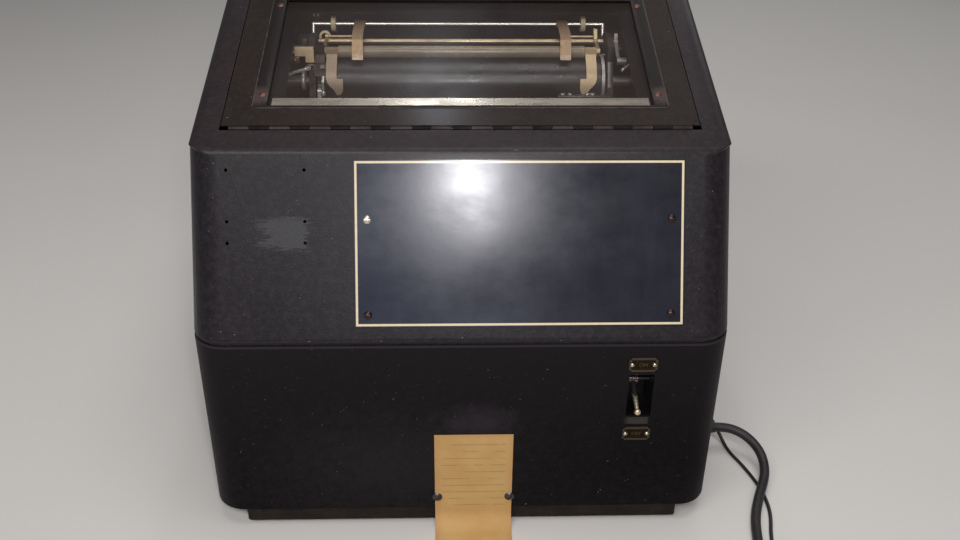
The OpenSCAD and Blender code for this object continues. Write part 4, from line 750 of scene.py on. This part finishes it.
def slab(bm, corners, axis, low, high, bevel):
    """A flat outline, given in the two axes other than the named one, made thick along it. Millimetres."""
    def at(p, h):
        return mm(h, *p) if axis == "x" else mm(p[0], h, p[1]) if axis == "y" else mm(*p, h)
    before = set(bm.faces)
    rings = [[bm.verts.new(at(p, h)) for p in corners] for h in (low, high)]
    n = len(corners)
    for k in range(n):
        bm.faces.new([rings[0][k], rings[0][(k + 1) % n], rings[1][(k + 1) % n], rings[1][k]])
    bm.faces.new(rings[0])
    bm.faces.new(rings[1])
    new = [f for f in bm.faces if f not in before]
    bmesh.ops.recalc_face_normals(bm, faces=new)
    edges = list({e for f in new for e in f.edges})
    bmesh.ops.bevel(bm, geom=edges, offset=bevel / 1000, segments=2, affect="EDGES", profile=0.6)


def wide_line(points, half):
    """Outline of a band along points."""
    left, right = [], []
    for i, p in enumerate(points):
        a, b = points[max(i - 1, 0)], points[min(i + 1, len(points) - 1)]
        d = Vector((b[0] - a[0], b[1] - a[1])).normalized()
        left.append((p[0] - d.y * half, p[1] + d.x * half))
        right.append((p[0] + d.y * half, p[1] - d.x * half))
    return left + right[::-1]


def window_rim(bm):
    """A thin frame round the window, from rounded rectangles on the slope."""
    def ring(x, s0, s1, n, r):
        out = []
        corners = ((x - r, s1 - r), (-x + r, s1 - r), (-x + r, s0 + r), (x - r, s0 + r))
        for turn, (cx, cs) in enumerate(corners):
            for k in range(5):
                a = math.radians(90 * turn + 22.5 * k)
                out.append(bm.verts.new(on_slope(cx + r * math.cos(a), cs + r * math.sin(a), n)))
        return out
    rings = [ring(RIM_X, RIM_FOOT, RIM_HEAD, 0.02, 4), ring(RIM_X, RIM_FOOT, RIM_HEAD, 0.25, 4),
             ring(165.2, 51.3, 218.7, 0.38, 3.8), ring(154.4, 54.2, 207.6, 0.38, 1.2),
             ring(154.1, 54.5, 207.3, 0.25, 1.0), ring(154.1, 54.5, 207.3, 0.02, 1.0)]
    for a, b in zip(rings, rings[1:] + rings[:1]):
        for k in range(len(a)):
            bm.faces.new([a[k], a[(k + 1) % len(a)], b[(k + 1) % len(b)], b[k]])


def left_lever(bm):
    bend = [(-158.8, 327.3), (-151, 327.2), (-148.8, 327.8), (-145.4, 329.3), (-134.2, 332.4)]
    slab(bm, wide_line(bend, 1.25), "y", 209.3, 210.9, 0.25)
    slab(bm, [(-135.6, 330.6), (-130.4, 331.6), (-130.4, 334.6), (-135.6, 333.6)], "y", 209.3, 215.4, 0.25)
    lathe(bm, mm(-135.2, 209.4, 331.9), (0, -1, 0), [(0, 0), (1.5, 0), (1.5, 0.7), (1.1, 1.2), (0, 1.4)], 16)


def left_clip(bm):
    outline = [(-149.7, 342.6), (-136.2, 342.6), (-136.2, 350.6), (-140.7, 350.6),
               (-140.7, 345), (-147.9, 345), (-147.9, 350.9), (-149.7, 350.9)]
    slab(bm, outline, "y", 238.4, 240.1, 0.25)


def left_block(bm):
    slab(bm, [(-147.4, 336.3), (-139.8, 336.3), (-139.8, 342.3), (-147.4, 342.3)], "y", 211.6, 216.2, 0.5)
    lathe(bm, mm(-143.6, 211.7, 339.4), (0, -1, 0), [(0, 0), (1.9, 0), (1.9, 0.8), (1.3, 1.3), (0, 1.5)], 6)


def left_bolt(bm):
    profile = [(0, 0), (1.3, 0), (1.3, 5.6), (2.5, 5.7), (2.6, 6), (2.6, 8.2), (2.2, 8.6), (1.3, 8.8),
               (1.3, 9.8), (0.9, 10.2), (0, 10.3)]
    lathe(bm, mm(-143.8, 217.4, 345.2), (-1, 0, 0), profile, 18)


def shaft_collar(bm):
    profile = [(5.5, 0), (7.6, 0), (8.4, 0.7), (8.5, 1.2), (8.5, 2.7), (7.9, 3.5), (6.4, 3.8), (5.5, 3.8)]
    lathe(bm, mm(-140.8, 225, 316.5), (1, 0, 0), profile, 40)


def guard_tab(bm):
    place = Matrix.Translation(mm(-119.9, 208.5, 334.5)) @ Matrix.Rotation(math.radians(48), 4, "X")
    outline = [(-2.1, -1.9), (2.1, -1.9), (2.1, 1.4), (1.5, 1.9), (-1.5, 1.9), (-2.1, 1.4)]
    low, high = ([bm.verts.new(place @ (Vector((a * grow, b * grow, z)) / 1000)) for a, b in outline]
                 for grow, z in ((1.0, 0.1), (0.92, 1.1)))
    for k in range(6):
        bm.faces.new([low[k], low[(k + 1) % 6], high[(k + 1) % 6], high[k]])
    bm.faces.new(low)
    bm.faces.new(high)


def guard_wire(bm):
    bends = [(-133.6, 213.4, 335.4), (-131, 211.6, 335.9), (-127.6, 211, 335.6), (-126.9, 210.8, 334.6),
             (-127, 209, 329.2), (-126.4, 208, 327.4), (-124.8, 207, 326.6), (-121, 205.4, 326.8),
             (-118.8, 204.9, 327.4)]
    rod_path(bm, [mm(*q) for q in bends], 0.00045, 8)


def guard_pin(bm):
    outline = [(205.4, 327.9), (203.2, 328.5), (196.4, 325.4), (196.4, 323.6), (199, 323.6), (203.4, 326.2)]
    slab(bm, outline, "x", -120.2, -118.2, 0.3)
    profile = [(0, 0), (1.15, 0), (1.15, 8.2), (1.7, 8.6), (1.95, 9.6), (1.95, 11), (1.5, 12), (0, 12.5)]
    lathe(bm, mm(-119.3, 197.8, 324.6), (0, 0, -1), profile, 18)


def right_edge(bm):
    outline = [(204.2, 317.6), (205.1, 317.3), (216.1, 336.6), (216.1, 350.2), (215.3, 350.2), (215.3, 337.1)]
    slab(bm, outline, "x", 130.3, 133.9, 0.15)


def guide_bar(bm):
    outline = [(184.5, 312.6), (190.5, 312.6), (190.5, 316.2), (189.8, 316.8), (185.2, 316.8), (184.5, 316.2)]
    slab(bm, outline, "x", 84.5, 129.4, 0.3)
    slab(bm, [(189.5, 313), (209, 313), (209, 316.4), (189.5, 316.4)], "x", 127.7, 129.55, 0.25)


def guide_screws(bm):
    for x, turn in ((88.6, 0.3), (94.8, 1.2), (110.2, 0.7), (114.6, 2.0)):
        screw_head(bm, mm(x, 187.5, 316.7), (0, 0, 1), 2.2, 1.7, turn)


def post_cap(bm):
    profile = [(0, 0), (4.35, 0), (4.75, 0.4), (4.75, 2.6), (4.2, 3.3), (1.6, 3.5), (1.4, 3.1), (0, 3.0)]
    lathe(bm, mm(-130.7, 276, 361.2), (0, 0, 1), profile, 6)


def lever_cap(bm):
    profile = [(0, 0), (3.4, 0), (4.3, 0.6), (4.4, 1.2), (4.4, 4.2), (3.9, 5.0), (2.4, 5.4), (2.2, 5.1),
               (0, 5.0)]
    lathe(bm, mm(142.2, 240.2, 341.6), (1, 0, 0), profile, 28)


def coil_middle(path, skip):
    """Middle of a path's turns, seen from above, leaving out its first points."""
    spans = [[q[i] for q in path[skip:]] for i in (0, 1)]
    return [(min(values) + max(values)) / 2 for values in spans]


def coil_tie(name, path, center, degrees, d, reach, limit):
    """A strap round all the turns that pass at one angle from the coil's middle, between two radii."""
    u = Vector((math.cos(math.radians(degrees)), math.sin(math.radians(degrees)), 0))
    side = Vector((0, 0, 1)).cross(u)
    near = []
    for q in path:
        v = Vector((q[0] - center[0], q[1] - center[1], 0))
        if reach < v.length < limit and v.angle(u) < math.radians(6):
            near.append((v.length, q[2]))
    (low, high), (bottom, top) = ((min(values) - d / 2, max(values) + d / 2) for values in zip(*near))
    middle = mm(center[0] + u.x * (low + high) / 2, center[1] + u.y * (low + high) / 2, (bottom + top) / 2)

    def rounded(value):
        return math.copysign(abs(value) ** 0.45, value)

    def build(bm):
        rings = []
        for strap in (0.0, 0.7):
            half_w, half_h = (high - low + 0.6) / 2 + strap, (top - bottom + 0.4) / 2 + strap
            for s in (-2.0, 2.0):
                ring = []
                for a in (2 * math.pi * k / 32 for k in range(32)):
                    q = middle + (u * rounded(math.cos(a)) * half_w + side * s) / 1000
                    z = q.z + rounded(math.sin(a)) * half_h / 1000
                    ring.append(bm.verts.new((q.x, q.y, max(z, 0.00005 if strap else 0.0002))))
                rings.append(ring)
        order = [rings[0], rings[1], rings[3], rings[2]]
        for a, b in zip(order, order[1:] + order[:1]):
            for k in range(32):
                bm.faces.new([a[k], a[(k + 1) % 32], b[(k + 1) % 32], b[k]])
    mesh_piece(name, build, "plug", "machine", 40)


mesh_piece("window_rim", window_rim, "bezel", "lid", 30)
mesh_piece("left_lever", left_lever, "bright", "machine")
mesh_piece("left_clip", left_clip, "dull_steel", "machine")
mesh_piece("left_block", left_block, "red_brass", "machine")
mesh_piece("left_bolt", left_bolt, "steel", "machine")
mesh_piece("shaft_collar", shaft_collar, "bright", "platen")
mesh_piece("guard_tab", guard_tab, "dull_steel", "machine")
mesh_piece("guard_wire", guard_wire, "steel", "machine")
mesh_piece("guard_pin", guard_pin, "bright", "machine")
mesh_piece("right_edge", right_edge, "dark_steel", "machine")
mesh_piece("guide_bar", guide_bar, "dark_steel", "machine")
mesh_piece("guide_screws", guide_screws, "steel", "machine")
mesh_piece("post_cap", post_cap, "steel", "machine")
power_middle = coil_middle(power_path, STEPS * len(POWER))
signal_middle = coil_middle(signal_path, STEPS * len(SIGNAL))
for k, degrees in enumerate((35, 200)):
    coil_tie("power_tie_%d" % k, power_path, power_middle, degrees, POWER_D, 25, 61)
for k, degrees in enumerate((100, 250)):
    coil_tie("signal_tie_%d" % k, signal_path, signal_middle, degrees, SIGNAL_D, 12, 29)
mesh_piece("lever_cap", lever_cap, "bakelite", "finger_bail")


# Room: pale floor, soft light

def stage_floor():
    data = bpy.data.meshes.new("floor")
    bm = bmesh.new()
    bmesh.ops.create_grid(bm, x_segments=1, y_segments=1, size=6)
    bm.to_mesh(data)
    bm.free()
    look = Look("pale_floor", roughness=0.7)
    look.set(base_color=look.mix(look.noise(3, 3, 0.5), (0.62, 0.60, 0.57), (0.66, 0.64, 0.61)))
    data.materials.append(look.mat)
    obj = bpy.data.objects.new("floor", data)
    bpy.context.collection.objects.link(obj)


def area_light(name, place, target, size, power, color=(1, 1, 1), tall=0):
    """A lamp aimed at a target. Metres and watts. With tall, it is a rectangle, size by tall."""
    data = bpy.data.lights.new(name, "AREA")
    data.shape = "RECTANGLE" if tall else "DISK"
    data.size = size
    if tall:
        data.size_y = tall
    data.energy = power
    data.color = color
    obj = bpy.data.objects.new(name, data)
    obj.matrix_world = Matrix.Translation(place) @ frame_of(place - target)
    bpy.context.collection.objects.link(obj)


stage_floor()
world = bpy.data.worlds.new("soft_room")
world.use_nodes = True
world.node_tree.nodes["Background"].inputs[0].default_value = (0.84, 0.84, 0.88, 1)
world.node_tree.nodes["Background"].inputs[1].default_value = 0.16
bpy.context.scene.world = world
target = mm(0, 150, 250)
area_light("key", Vector((-0.45, -1.6, 1.75)), target, 2.4, 27, (1, 0.975, 0.96), 0.42)
area_light("fill", Vector((0.2, -0.2, 2.4)), target, 1.3, 15.5, (1, 0.98, 0.97))
area_light("flash", mm(20, -650, 640), mm(0, 100, 280), 0.045, 2.1, (0.97, 0.96, 1), 0.11)
area_light("back", Vector((0.9, 1.7, 1.3)), target, 1.2, 4)
area_light("ceiling", mm(-36, 1042, 1642), mm(-17, 120, 335), 0.08, 1.3, (0.86, 0.92, 1))
bpy.context.scene.view_settings.view_transform = "Standard"
